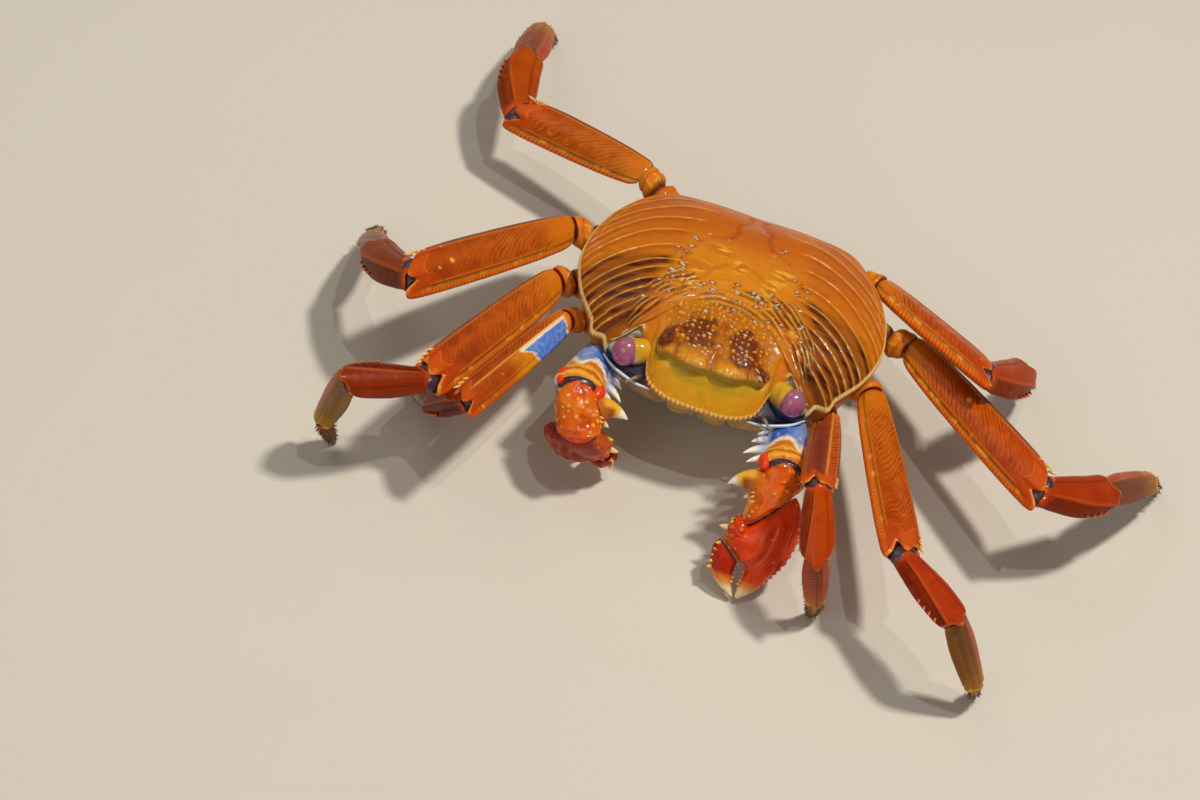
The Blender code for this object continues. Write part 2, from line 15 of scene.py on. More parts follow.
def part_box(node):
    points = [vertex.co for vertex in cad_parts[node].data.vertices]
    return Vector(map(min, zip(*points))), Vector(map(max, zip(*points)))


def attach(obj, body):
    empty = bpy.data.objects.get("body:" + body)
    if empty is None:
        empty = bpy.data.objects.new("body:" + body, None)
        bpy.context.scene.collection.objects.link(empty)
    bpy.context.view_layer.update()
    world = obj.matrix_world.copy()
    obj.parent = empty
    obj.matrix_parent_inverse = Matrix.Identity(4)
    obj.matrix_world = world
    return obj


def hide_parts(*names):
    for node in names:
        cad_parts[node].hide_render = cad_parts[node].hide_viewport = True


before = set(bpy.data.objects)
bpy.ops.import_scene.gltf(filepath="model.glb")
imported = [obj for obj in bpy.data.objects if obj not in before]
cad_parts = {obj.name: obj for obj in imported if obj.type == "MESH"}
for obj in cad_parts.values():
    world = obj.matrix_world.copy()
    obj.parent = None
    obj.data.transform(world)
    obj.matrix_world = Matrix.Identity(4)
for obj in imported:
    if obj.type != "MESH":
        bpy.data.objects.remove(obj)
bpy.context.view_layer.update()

MM = 0.001
GAP = 0.3
BODY_LIFT = 33.0
BODY_PITCH = 6.0

SIDES = {"l": 1, "r": -1}

# Left half of the shell's edge, from the middle of the front to the middle of the back.
MARGIN = (
    (0.0, -28.6, -7.0), (8.0, -28.2, -6.8), (13.6, -25.8, -5.4), (15.6, -22.0, -2.4), (17.6, -18.6, 0.2),
    (20.2, -17.4, 0.6), (23.3, -19.2, -1.2), (26.3, -21.4, -4.2), (28.0, -18.4, -3.4), (31.2, -18.4, -2.9),
    (32.6, -14.2, -2.0), (37.2, -7.0, -0.6), (40.0, 3.0, 0.3), (39.2, 14.0, 1.0), (35.5, 25.0, 1.2),
    (30.0, 34.0, 1.0), (24.5, 38.8, 0.8), (14.0, 40.8, 0.5), (0.0, 41.1, 0.5),
)
SHELL_TOP = 9.6
BROW_RING = 0.9
BROW_HEIGHT = 4.7
BROW_HALF_WIDTH = 12.0
BROW_SIDE = 4.5
BROW_CURVE = 2.6
DOME_START = 2.3
DOME_END = 0.72
SHELL_EDGE = 1.0
SHELL_FLOOR = -2.0
SEAM = 0.6

TRUNK_RIM = 0.93
# Share of the cheek outline behind, share of it in front, height.
TRUNK_RINGS = (
    (1.0, 1.0, -6.6), (0.96, 0.9, -12.0), (0.87, 0.76, -16.5), (0.72, 0.6, -20.5), (0.52, 0.44, -22.6),
)
TRUNK_BOTTOM = -23.0
CHEEK_HEIGHT = -6.6
CHEEK_FRONT = -27.0
CHEEK_CURVE = 0.0085
CHEEK_BEHIND = -14.0
CHEEK_SHARE = 0.97
CHEEK_DROP = 2.2
MOUTH_FRONT = -22.6
MOUTH_HALF_WIDTH = 12.0
MOUTH_CORNER = 2.5
FLANK_SHARE = 0.94

EYE_CENTRE = (20.0, -20.6, -2.4)
EYE_YAW = -28.0
# Each eye's own shift from its place; the left one is held a little further back and up.
EYE_SHIFTS = {"l": (0.3, 1.0, 0.4), "r": (0.4, 0.1, 0.0)}

PLEON_PATH = (
    (40.7, -2.4), (40.6, -7.0), (39.3, -12.0), (36.9, -17.0),
    (30.0, -22.0), (20.5, -24.4), (8.0, -24.9), (-3.0, -24.9),
)
PLEON_WIDTHS = (22.0, 23.0, 20.0, 17.0, 14.5, 12.0, 8.5, 3.6)
PLEON_DEPTH = 1.6
MAXILLIPED_PATH = ((4.4, -22.8, -10.6), (4.5, -21.3, -13.6), (4.7, -18.1, -17.6), (4.9, -13.9, -21.8))
MAXILLIPED_WIDTHS = (4.6, 6.4, 6.0, 4.6)
ANTENNA_PATH = ((16.0, -25.8, -4.9), (16.8, -27.0, -4.6), (17.8, -28.3, -4.5), (18.8, -29.4, -4.9))
ANTENNA_WIDTHS = (1.6, 1.3, 0.9, 0.6)

# Walking legs: start of the merus, the way its broad faces look, (length, yaw, pitch) of the merus, carpus
# and propodus, then yaw and pitch of the dactylus.
LEGS = {
    "l1": (
        (31.8, -12.6, 23.6), (0.05, -0.62, 0.78),
        (42.8, -87, 24), (16.7, -66, -44), (20.0, 39, -76), (81, -69),
    ),
    "l2": (
        (40.5, -2.8, 26.0), (0.30, -0.45, 0.85),
        (56.3, -71, 6), (21.5, -42, 0), (23.5, 4, -63), (74, -61),
    ),
    "l3": (
        (46.8, 18.3, 25.0), (0.0, -0.45, 0.89),
        (57.0, -44, 7), (23.0, 39, -19), (27.0, 59, -29), (67, -49),
    ),
    "l4": (
        (35.0, 33.6, 27.2), (0.45, 0.0, 0.89),
        (43.2, -41, 13), (18.6, 55, -29), (24.6, 82, -45), (80, -52),
    ),
    "r1": (
        (-38.3, -10.2, 24.8), (-0.1, -0.45, 0.89),
        (48.5, -109, 11), (17.6, 133, -48), (21.3, 111, -42), (114, -42),
    ),
    "r2": (
        (-43.9, 0.6, 25.8), (0.0, -0.45, 0.89),
        (56.0, -112, 7), (20.9, -147, 8), (23.7, 130, -73), (58, -66),
    ),
    "r3": (
        (-45.0, 20.3, 24.8), (0.0, -0.45, 0.89),
        (57.0, -126, 13), (22.2, 127, -31), (26.2, 102, -40), (91, -38),
    ),
    "r4": (
        (-31.8, 44.0, 28.4), (0.0, -0.45, 0.89),
        (40.2, 160, -9), (20.4, 100, 0), (27.0, 90, -24), (69, -51),
    ),
}
HIP_ROOTS = {
    "1": (21.0, 1.0, 19.0), "2": (23.0, 11.0, 20.0), "3": (22.0, 22.5, 20.5), "4": (15.5, 34.5, 21.5),
}
SEGMENTS = ("hip", "merus", "carpus", "propodus", "dactylus")
LEG_WIDTHS = {
    "1": (7.1, 9.6, 8.2, 7.0, 4.6),
    "2": (8.7, 11.8, 8.6, 8.0, 5.0),
    "3": (9.2, 12.4, 10.2, 8.8, 5.4),
    "4": (8.6, 11.6, 10.4, 9.4, 5.2),
}
LEG_DEPTHS = (7.0, 5.6, 5.6, 4.4, 3.5)
DEPTH_TAPER = 0.55
KNEE_BULGE = {"1": 0.0, "2": 0.0, "3": 1.0, "4": 1.0}
LEG_SHAPES = {
    "hip": ((0.0, 0.86, 0.0), (0.3, 1.0, 0.0), (0.62, 0.96, 0.0), (0.7, 0.8, 0.0), (1.0, 0.84, 0.0)),
    "merus": (
        (0.0, 0.62, 0.0), (0.06, 0.74, 0.0), (0.25, 0.88, 0.0), (0.55, 0.97, 0.0), (0.8, 1.0, 0.0),
        (0.94, 0.97, 0.0), (1.0, 0.86, 0.0),
    ),
    "carpus": ((0.0, 0.74, 0.0), (0.22, 0.9, 0.06), (0.6, 1.08, 0.13), (0.86, 1.04, 0.08), (1.0, 0.9, 0.0)),
    "propodus": ((0.0, 0.86, 0.0), (0.35, 1.0, 0.0), (0.8, 0.86, 0.0), (1.0, 0.72, 0.0)),
    "dactylus": ((0.0, 0.95, 0.0), (0.4, 0.78, 0.0), (0.8, 0.5, 0.0), (1.0, 0.34, 0.0)),
}
LEG_KEEL = 1.12

# Claw arms: root, shoulder, elbow and hand hub, the ways that the hand points and its outer face looks,
# and the way that the wrist's joint plane faces.
ARMS = {
    "l": (
        (12.0, -12.0, 16.0), (22.4, -15.6, 22.6), (25.0, -38.0, 28.0), (24.9, -46.6, 20.0),
        (-0.06, -0.59, -0.80), (0.02, -0.80, 0.60), (0.75, -0.41, -0.53),
    ),
    "r": (
        (-12.0, -12.0, 16.0), (-26.0, -13.6, 23.0), (-29.2, -33.4, 27.5), (-25.6, -41.5, 21.0),
        (0.06, 0.46, -0.885), (0.0, -0.88, -0.47), (0.26, -0.23, -0.94),
    ),
}
ARM_FACE = (0.0, -0.3, 0.95)
WRIST_SETBACK = 1.1
ARM_SEGMENTS = {
    "hip": (((0.0, 0.9, 0.0), (0.4, 1.0, 0.0), (1.0, 0.9, 0.0)), 8.0, 7.6, ()),
    "merus": (
        ((0.0, 0.62, 0.0), (0.3, 0.74, 0.0), (0.7, 0.92, 0.0), (0.92, 1.0, 0.0), (1.0, 0.96, 0.0)), 12.6, 9.0,
        (
            (0.3, 2.2, 0.8, 0.9), (0.42, 2.6, 1.0, 0.9), (0.54, 3.8, 1.6, 1.1), (0.72, 5.6, 3.0, 1.3),
            (0.88, 4.6, 2.8, 1.1),
        ),
    ),
    "carpus": (
        ((0.0, 0.8, 0.0), (0.3, 1.0, 0.0), (0.7, 1.0, 0.0), (1.0, 0.84, 0.0)), 12.0, 10.0,
        ((0.5, 7.4, 2.4, 1.9), (0.78, 2.6, 1.4, 0.9), (0.2, 1.8, 0.4, 0.8)),
    ),
}
SPINE_ROOT = 1.4

# Stations of the palm with its fixed finger: u, least v, greatest v, thickness, share of the wrist's lean.
PALM = (
    (-0.6, -4.4, 4.8, 5.0, 1.0), (2.4, -6.6, 7.6, 8.4, 0.55), (6.0, -8.3, 9.1, 9.6, 0.27),
    (9.6, -7.0, 8.7, 9.0, 0.1), (11.6, -5.2, 7.8, 8.4, 0.0), (13.4, -1.6, 7.0, 7.4, 0.0),
    (14.6, -0.3, 6.4, 6.4, 0.0), (17.5, -0.1, 4.8, 4.8, 0.0), (20.4, -0.2, 2.8, 3.4, 0.0),
    (22.3, -0.1, 1.0, 1.8, 0.0),
)
# Stations of the movable finger: u at v = 0, least v, greatest v, thickness, lean.
FINGER = (
    (15.7, -9.0, -2.6, 5.4, -0.64), (15.9, -9.9, -2.6, 6.2, -0.35), (16.4, -9.4, -2.6, 5.8, -0.1),
    (18.6, -7.8, -2.4, 4.6, 0.0), (20.6, -5.2, -1.6, 3.2, 0.0), (22.3, -1.6, -0.5, 1.8, 0.0),
)
PALM_SPINE = (6.4, -6.8, 3.4, 1.0)

# Colours, linear.
ORANGE = (0.58, 0.165, 0.004)
REAR_ORANGE = (0.54, 0.125, 0.004)
GOLD = (0.74, 0.28, 0.012)
GASTRIC = (0.50, 0.17, 0.006)
MAROON = (0.055, 0.008, 0.003)
BLOTCH = (0.11, 0.018, 0.007)
SHELL_RIM = (0.90, 0.66, 0.24)
YELLOW = (0.86, 0.42, 0.04)
CREAM = (0.86, 0.66, 0.30)
WHITE = (0.90, 0.86, 0.74)
RED_ORANGE = (0.62, 0.075, 0.002)
RUST = (0.34, 0.035, 0.001)
BLUE = (0.035, 0.115, 0.50)
PALE_BLUE = (0.35, 0.52, 0.78)
CLAW_TIP = (0.90, 0.72, 0.42)
THORN_ROOT = (0.80, 0.26, 0.02)
THORN_POINT = (0.90, 0.60, 0.12)
NAVY = (0.008, 0.022, 0.07)
MEMBRANE = (0.022, 0.008, 0.014)


# ---------------------------------------------------------------- numbers


def unit(v):
    v = np.asarray(v, float)
    return v / np.maximum(np.linalg.norm(v, axis=-1, keepdims=True), 1e-12)


def ramp(low, high, value):
    """0 below low, 1 above high, and smooth between them; low may be the greater."""
    t = np.clip((value - low) / (high - low), 0.0, 1.0)
    return t * t * (3 - 2 * t)


def peak(value, centre, width):
    return np.exp(-(((value - centre) / width) ** 2))


def spot(x, y, cx, cy, rx, ry, soft):
    """1 inside this ellipse and 0 outside it, with a soft edge."""
    r = np.hypot((x - cx) / rx, (y - cy) / ry)
    return ramp(1 + soft, 1 - soft, r)


def spots(x, y, table, soft, ragged=1.0):
    """1 inside any of the table's ellipses, whose sizes are multiplied by ragged."""
    found = np.zeros_like(x)
    for cx, cy, rx, ry in table:
        found = np.maximum(found, spot(x, y, cx, cy, rx * ragged, ry * ragged, soft))
    return found


def mix(colour, other, amount):
    amount = np.asarray(amount)[..., None]
    return np.asarray(colour) * (1 - amount) + np.asarray(other) * amount


def layers(colour, *coats):
    """The colour under these (colour, amount) coats, laid on in order."""
    for coat, amount in coats:
        colour = mix(colour, coat, amount)
    return colour


def dome(away, size):
    """A round knob's height, from 1 at its middle to 0 at this distance from it."""
    return np.sqrt(np.clip(1 - (away / size) ** 2, 0, 1))


def bead_row(along, apart):
    """A row of beads: 1 on each and 0 between them."""
    return 0.5 + 0.5 * np.cos(along * tau / apart)


def smooth_table(x, xs, ys):
    """Monotone cubic through the table's points."""
    xs, ys = np.asarray(xs, float), np.asarray(ys, float)
    step = np.diff(xs)
    slope = np.diff(ys) / step
    product = slope[1:] * slope[:-1]
    inner = np.where(product > 0, 2 * product / (slope[1:] + slope[:-1] + 1e-12), 0)
    tangent = np.concatenate([slope[:1], inner, slope[-1:]])
    i = np.clip(np.searchsorted(xs, x) - 1, 0, len(step) - 1)
    t = np.clip((x - xs[i]) / step[i], 0, 1)
    a = (1 + 2 * t) * (1 - t) ** 2 * ys[i] + t * t * (3 - 2 * t) * ys[i + 1]
    return a + step[i] * (t * (1 - t) ** 2 * tangent[i] - t * t * (1 - t) * tangent[i + 1])


def hash01(cell, seed):
    """A number from 0 to 1 for each whole-numbered cell (..., 3)."""
    cell = cell.astype(np.int64)
    n = (cell[..., 0] * 73856093) ^ (cell[..., 1] * 19349663) ^ (cell[..., 2] * 83492791) ^ (seed * 40503)
    n = ((n ^ (n >> 13)) * 1274126177) & 0xFFFFFFFF
    n = ((n ^ (n >> 15)) * 2246822519) & 0xFFFFFFFF
    return ((n ^ (n >> 16)) & 0xFFFFFF) / 0xFFFFFF


def noise(points, size, seed, octaves=2):
    """Smooth noise from -1 to 1 whose largest features are this size."""
    total, scale, weight = 0.0, 1.0, 0.0
    for octave in range(octaves):
        p = points / (size * scale)
        base = np.floor(p)
        f = p - base
        f = f * f * (3 - 2 * f)
        value = 0.0
        for corner in np.ndindex(2, 2, 2):
            share = np.prod(np.where(corner, f, 1 - f), axis=-1)
            value = value + share * hash01(base + corner, seed + octave)
        total = total + (value * 2 - 1) * scale
        weight += scale
        scale /= 2
    return total / weight


def cells(points, size, seed, jitter):
    """(distance, number): how far the nearest of the scattered centres is, in cells, and its own number."""
    p = points / size
    base = np.floor(p)
    best = np.full(p.shape[:-1], 9.0)
    found = np.zeros(p.shape[:-1])
    spread = (-1, 0, 1) if np.ptp(points[..., 2]) > 0 else (0,)
    for dx in (-1, 0, 1):
        for dy in (-1, 0, 1):
            for dz in spread:
                cell = base + (dx, dy, dz)
                centre = [0.5 + (hash01(cell, seed + k) - 0.5) * jitter for k in range(3)]
                away = cell + np.stack(centre, -1) - p
                if spread == (0,):
                    away[..., 2] = 0
                r = np.linalg.norm(away, axis=-1)
                nearer = r < best
                best = np.where(nearer, r, best)
                found = np.where(nearer, hash01(cell, seed + 7), found)
    return best, found


def flat(x, y):
    return np.stack([x, y, np.zeros_like(x)], -1)


def line_distance(x, y, path):
    """Distance to an open path of points."""
    best = np.full(x.shape, 1e9)
    for (ax, ay), (bx, by) in zip(path, path[1:]):
        dx, dy = bx - ax, by - ay
        t = np.clip(((x - ax) * dx + (y - ay) * dy) / (dx * dx + dy * dy), 0, 1)
        best = np.minimum(best, np.hypot(x - ax - t * dx, y - ay - t * dy))
    return best


# ---------------------------------------------------------------- places


def stance(points):
    """Level trunk coordinates turned nose up and lifted to the crab's stance."""
    c, s = cos(radians(BODY_PITCH)), sin(radians(BODY_PITCH))
    x, y, z = np.moveaxis(np.asarray(points, float), -1, 0)
    return np.stack([x, y * c + z * s, z * c - y * s + BODY_LIFT], -1)


def crab_offset():
    """Where part.py put the crab's own origin, in mm."""
    low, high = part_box("carapace")
    lip = stance((0.0, MARGIN[0][1], MARGIN[0][2] - SHELL_EDGE))
    return np.array([(low[0] + high[0]) / 2 / MM, low[1] / MM - lip[1], 0.0])


OFFSET = crab_offset()


def heading(yaw, pitch):
    yaw, pitch = radians(yaw), radians(pitch)
    return np.array([cos(yaw) * cos(pitch), sin(yaw) * cos(pitch), sin(pitch)])


def across(axis, face):
    """(broad, normal): unit vectors across a limb whose broad face looks as nearly along face as it can."""
    normal = unit(face - axis * np.dot(face, axis))
    return np.cross(normal, axis), normal


def joint_normal(before, after):
    return unit(unit(before) + unit(after))


# ---------------------------------------------------------------- meshes


class Pile:
    """Grids of points gathered into one mesh, with a colour and a gloss at each point."""

    def __init__(self):
        self.points, self.tints, self.quads, self.triangles, self.patches = [], [], [], [], []
        self.count = 0

    def add(self, points, colour, gloss):
        """A grid (rows, columns, 3), closed round its columns and over both end rows."""
        rows, columns = points.shape[:2]
        number = np.arange(rows * columns).reshape(rows, columns) + self.count
        after = np.roll(number, -1, axis=1)
        self.quads.append(np.stack([number[:-1], after[:-1], after[1:], number[1:]], -1).reshape(-1, 4))
        colour = np.broadcast_to(np.asarray(colour, float), points.shape)
        gloss = np.broadcast_to(np.asarray(gloss, float), points.shape[:2])
        tint = np.concatenate([colour, gloss[..., None]], -1)
        self.points.append(points.reshape(-1, 3))
        self.tints.append(tint.reshape(-1, 4))
        self.count += rows * columns
        for row, turn in ((0, 1), (-1, -1)):
            self.points.append(points[row].mean(axis=0, keepdims=True))
            self.tints.append(tint[row].mean(axis=0, keepdims=True))
            ring = [number[row], after[row]][::turn]
            self.triangles.append(np.stack([*ring[::-1], np.full(columns, self.count)], -1))
            self.count += 1

    def mesh(self, name):
        points = np.concatenate(self.points)
        quads = np.concatenate(self.quads)
        triangles = np.concatenate(self.triangles)
        corners = np.concatenate([quads.ravel(), triangles.ravel()]).astype(np.int32)
        made = bpy.data.meshes.new(name)
        made.vertices.add(len(points))
        made.vertices.foreach_set("co", ((points + OFFSET) * MM).astype(np.float32).ravel())
        made.loops.add(len(corners))
        made.loops.foreach_set("vertex_index", corners)
        made.polygons.add(len(quads) + len(triangles))
        starts = np.concatenate([np.arange(len(quads)) * 4, quads.size + np.arange(len(triangles)) * 3])
        made.polygons.foreach_set("loop_start", starts.astype(np.int32))
        made.polygons.foreach_set("use_smooth", np.ones(len(starts), bool))
        made.update(calc_edges=True)
        made.validate()
        tint = made.color_attributes.new("tint", "FLOAT_COLOR", "POINT")
        tint.data.foreach_set("color", np.clip(np.concatenate(self.tints), 0, 1).astype(np.float32).ravel())
        if self.patches:
            place = np.concatenate(self.patches)[loop_points(made)]
            made.uv_layers.new(name="OFBake").data.foreach_set("uv", place.astype(np.float32).ravel())
        return made


def loop_points(mesh):
    index = np.empty(len(mesh.loops), np.int32)
    mesh.loops.foreach_get("vertex_index", index)
    return index


def piece(name, pile, look, slot, *nodes):
    """A finished object that rides on the crab and stands for these CAD nodes."""
    made = bpy.data.objects.new(name, pile.mesh(name))
    made.data.materials.append(look)
    bpy.context.scene.collection.objects.link(made)
    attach(made, "root")
    if nodes:
        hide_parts(*nodes)


def show(name, grid, colour, gloss, *where):
    """A piece made of this one grid."""
    pile = Pile()
    pile.add(grid, colour, gloss)
    piece(name, pile, *where)


def normals_of(points, middle=None):
    """Unit normals of a wrapped grid, pointing away from its own middle line or this middle."""
    along = np.gradient(points, axis=0)
    around = np.roll(points, -1, axis=1) - np.roll(points, 1, axis=1)
    found = np.cross(around, along)
    out = points - (points.mean(axis=1, keepdims=True) if middle is None else np.asarray(middle))
    sign = np.sign((found * out).sum(axis=-1, keepdims=True).sum())
    return unit(found * (sign if sign else 1))


def raised(points, height, middle=None):
    return points + normals_of(points, middle) * np.asarray(height)[..., None]


# How far each end of a plate is dished inwards, in mm, and the sizes of the rows that close it.
END_DISH = 0.4
END_ROWS = (0.93, 0.7, 0.35)


def closing(points):
    """The grid with each end drawn in to its middle in a few more rows."""
    rows = [points]
    for end, inward in ((0, 1), (-1, -1)):
        centre = points[end].mean(axis=0)
        step = unit(points[end + inward * 3].mean(axis=0) - centre) * END_DISH
        extra = [(centre + (points[end] - centre) * size + step * (1 - size))[None] for size in END_ROWS]
        rows = extra[::-1] + rows if end == 0 else rows + extra
    return np.concatenate(rows)


def closed_like(values, caps=None):
    """Values of a grid continued over the rows that closing() adds, or these two colours there."""
    ends = [np.repeat(values[row], len(END_ROWS), 0) for row in (slice(0, 1), slice(-1, None))]
    if caps is not None:
        ends = [np.broadcast_to(np.asarray(cap, float), end.shape) for cap, end in zip(caps, ends)]
    return np.concatenate([ends[0], values, ends[1]])


def spine_grid(base, tip, radius, bend=(0, 0, 0), rows=9, sides=9, blunt=0.12):
    """A curved thorn from its base to its tip, as a grid; bend pushes its middle aside."""
    base, tip, bend = np.asarray(base, float), np.asarray(tip, float), np.asarray(bend, float)
    t = np.linspace(0, 1, rows)
    line = base + (tip - base) * t[:, None] + bend * (4 * t * (1 - t))[:, None]
    way = unit(np.gradient(line, axis=0))
    side = unit(np.cross(way, unit(tip - base + (0.31, 0.17, 0.93))))
    other = np.cross(way, side)
    girth = radius * ((1 - t) ** 0.85 * (1 - blunt) + blunt * np.sqrt(1 - t**4))
    angle = tau * np.arange(sides) / sides
    ring = side[:, None] * np.cos(angle)[None, :, None] + other[:, None] * np.sin(angle)[None, :, None]
    return line[:, None] + ring * girth[:, None, None]


def add_spine(pile, base, tip, radius, root, end, bend=(0, 0, 0), gloss=0.7, **sizes):
    grid = spine_grid(base, tip, radius, bend, **sizes)
    t = np.linspace(0, 1, grid.shape[0])[:, None] * np.ones(grid.shape[:2])
    pile.add(grid, mix(root, end, ramp(0.15, 0.62, t)), gloss)


# The rows of an ellipsoid begin this far from its pole, in radians.
POLE_HOLE = 0.02


def ellipsoid(centre, axes, rows, columns):
    """Grid of an ellipsoid with these three half axes as vectors; its poles lie on the first one."""
    centre, axes = np.asarray(centre, float), np.asarray(axes, float)
    tilt = np.linspace(POLE_HOLE, pi - POLE_HOLE, rows)[:, None]
    turn = tau * np.arange(columns)[None] / columns
    x = np.cos(tilt) * np.ones_like(turn)
    parts = (x[..., None] * axes[0], (np.sin(tilt) * np.cos(turn))[..., None] * axes[1])
    return centre + parts[0] + parts[1] + (np.sin(tilt) * np.sin(turn))[..., None] * axes[2]


# ---------------------------------------------------------------- carapace

# Raised lines across each side of the shell: height of the line's course, and how near the middle it begins.
STRIAE = (
    (-11.6, 23.0), (-8.4, 21.0), (-5.0, 20.0), (-2.0, 19.0), (1.8, 17.5), (5.1, 16.0), (11.0, 15.5),
    (17.8, 15.0), (24.0, 13.0), (30.0, 9.0), (35.0, 6.0),
)
# Weaker lines between them, near the edge.
HALF_STRIAE = ((8.2, 34.0), (14.6, 33.0), (21.0, 32.0), (27.2, 28.0))
STRIA_HEIGHT = 0.22
STRIA_BEND = 0.025
STRIA_BEND_FROM = 14.0
# Short oblique ridges: how far apart they are, and their height.
SHORT_APART = 2.1
SHORT_HEIGHT = 0.6
# The scattered knobs, grains and pale chips: how far apart they are, and their height.
KNOB_APART, KNOB_HEIGHT = 1.6, 0.42
GRAIN_APART, GRAIN_HEIGHT = 1.05, 0.14
CHIP_APART, CHIP_HEIGHT = 1.3, 0.12
# Beads: of the brow's lobes (scattered), of the front plate's lower edge and of the rim.
LOBE_BEAD, FRONT_BEAD, RIM_BEAD = 1.1, 1.25, 0.95
SHELL_COLUMNS = 900
TOP_ROWS, FRONT_ROWS = 150, 52
# Share of the edge at the innermost and the outermost row.
FIRST_SHARE, LAST_SHARE = 0.03, 0.998
# The shell's thickness at its edge, in two steps, and its floor's rings, as shares of the edge.
EDGE_STEPS = (0.35, 0.8)
FLOOR_SHARES = (0.985, 0.9, 0.5, 0.1)
# Low swellings on each side: centre, half sizes, softness of the border, height.
SWELLINGS = (
    (25.0, 6.0, 14.0, 20.0, 0.9, 0.55), (5.2, -17.0, 5.0, 6.8, 0.7, 0.75), (12.6, -19.0, 2.8, 4.4, 0.7, 0.45),
    (10.5, 29.5, 8.0, 6.0, 0.9, 0.8), (0.0, 33.0, 3.4, 6.0, 0.8, -0.5),
)
# Each groove between the regions: its course on one side, and its depth.
GROOVES = (
    (((1.9, 37.0), (1.8, 33.5), (2.9, 30.4), (4.4, 27.6), (4.1, 24.4), (5.4, 21.6)), 0.38),
    (((5.4, 21.6), (8.8, 19.4), (12.0, 16.2), (14.4, 12.0), (15.0, 8.0), (13.9, 3.2), (12.9, -0.4)), 0.14),
    (((12.9, -0.4), (13.2, -4.0), (14.8, -7.6), (17.6, -11.0), (20.6, -13.6)), 0.3),
    (((0.3, -27.0), (0.6, -23.4), (0.3, -20.6), (0.5, -17.0), (0.2, -12.0)), 0.5),
    (((9.7, -25.0), (10.2, -21.6), (10.1, -18.4), (9.2, -15.2), (7.6, -13.0)), 0.4),
    (((0.0, 10.0), (2.6, 9.7), (4.9, 8.4), (6.9, 5.8), (8.4, 3.0), (9.6, 0.5)), 0.18),
)
# Golden patches and dark blotches: centre, half sizes.
GOLD_SPOTS = (
    (-11.9, 5.1, 4.2, 2.2), (-7.2, 14.0, 3.4, 2.0), (-0.9, 9.2, 2.2, 2.6), (7.9, 4.7, 2.2, 4.2),
    (11.9, -1.0, 3.4, 2.6), (10.6, 11.5, 2.4, 3.6), (-14.0, -1.5, 4.0, 1.8), (15.5, -6.0, 4.0, 1.8),
)
BLOTCHES = (
    (-5.5, -17.4, 4.7, 5.0), (6.5, -17.9, 4.6, 5.2), (-12.4, -18.8, 2.0, 3.5), (12.9, -21.4, 2.8, 2.6),
)
# The line that most of the pale chips follow.
CHIP_COURSE = ((6.0, 22.5), (12.0, 16.5), (15.6, 9.0), (16.0, 1.5), (18.6, -5.0))
ORBIT_SHADE = (0.42, 0.47, 0.36)
# Width of the pale strip that lines each orbit, and where the orbit begins and ends across the edge.
ORBIT_LINING = 2.3
ORBIT_BEGINS, ORBIT_ENDS = 15.7, 27.3
# Widths of the brow's inner and outer lobes.
INNER_LOBE, OUTER_LOBE = 9.7, 6.0
BEHIND_BROW = -14.0


def half_margin():
    """A dense smooth line through the margin's points."""
    points = np.array(MARGIN)
    fine = []
    for i in range(len(points) - 1):
        a, b, c, d = (points[min(max(k, 0), len(points) - 1)] for k in (i - 1, i, i + 1, i + 2))
        t = np.linspace(0, 1, 24, endpoint=False)[:, None]
        cubic = (3 * b - a - 3 * c + d) * t**3
        fine.append(0.5 * (2 * b + (c - a) * t + (2 * a - 5 * b + 4 * c - d) * t**2 + cubic))
    return np.concatenate(fine + [points[-1:]])


def whole_margin(columns):
    """The shell's edge as this many evenly spread points round the body, and the arc length at each."""
    half = half_margin()
    mirror = half[-2:0:-1] * (-1, 1, 1)
    ring = np.concatenate([half, mirror, half[:1]])
    length = np.concatenate([[0], np.cumsum(np.linalg.norm(np.diff(ring, axis=0), axis=1))])
    at = np.linspace(0, length[-1], columns, endpoint=False)
    return np.stack([np.interp(at, length, ring[:, k]) for k in range(3)], -1), at


def shell_height(edge, share):
    """Height of the shell's top at this share of the way from its middle to this point of the edge."""
    dome = SHELL_TOP + (edge[..., 2] - SHELL_TOP) * (1 - (1 - share**DOME_START) ** DOME_END)
    front = ramp(BROW_HALF_WIDTH + BROW_SIDE, BROW_HALF_WIDTH, abs(edge[..., 0])) * (edge[..., 1] < 0)
    over = SHELL_TOP + (BROW_HEIGHT - SHELL_TOP) * (np.minimum(share / BROW_RING, 1)) ** BROW_CURVE
    below = BROW_HEIGHT + (edge[..., 2] - BROW_HEIGHT) * (share - BROW_RING) / (1 - BROW_RING)
    brow = np.where(share <= BROW_RING, over, below)
    return dome + (brow - dome) * front


def ridge(distance, front, back):
    """Profile of a scale-like ridge: steep in front, where distance is negative, and long behind."""
    return np.exp(-((distance / np.where(distance < 0, front, back)) ** 2))


def brow_lobes(ax):
    """Profile of the brow's lobes: a wide inner pair and a narrow outer pair."""
    inner = np.sqrt(np.sin(np.clip(ax / INNER_LOBE, 0, 1) * pi).clip(0))
    outer = np.sqrt(np.sin(np.clip((ax - INNER_LOBE) / OUTER_LOBE, 0, 1) * pi).clip(0))
    return np.maximum(inner, 0.7 * outer)


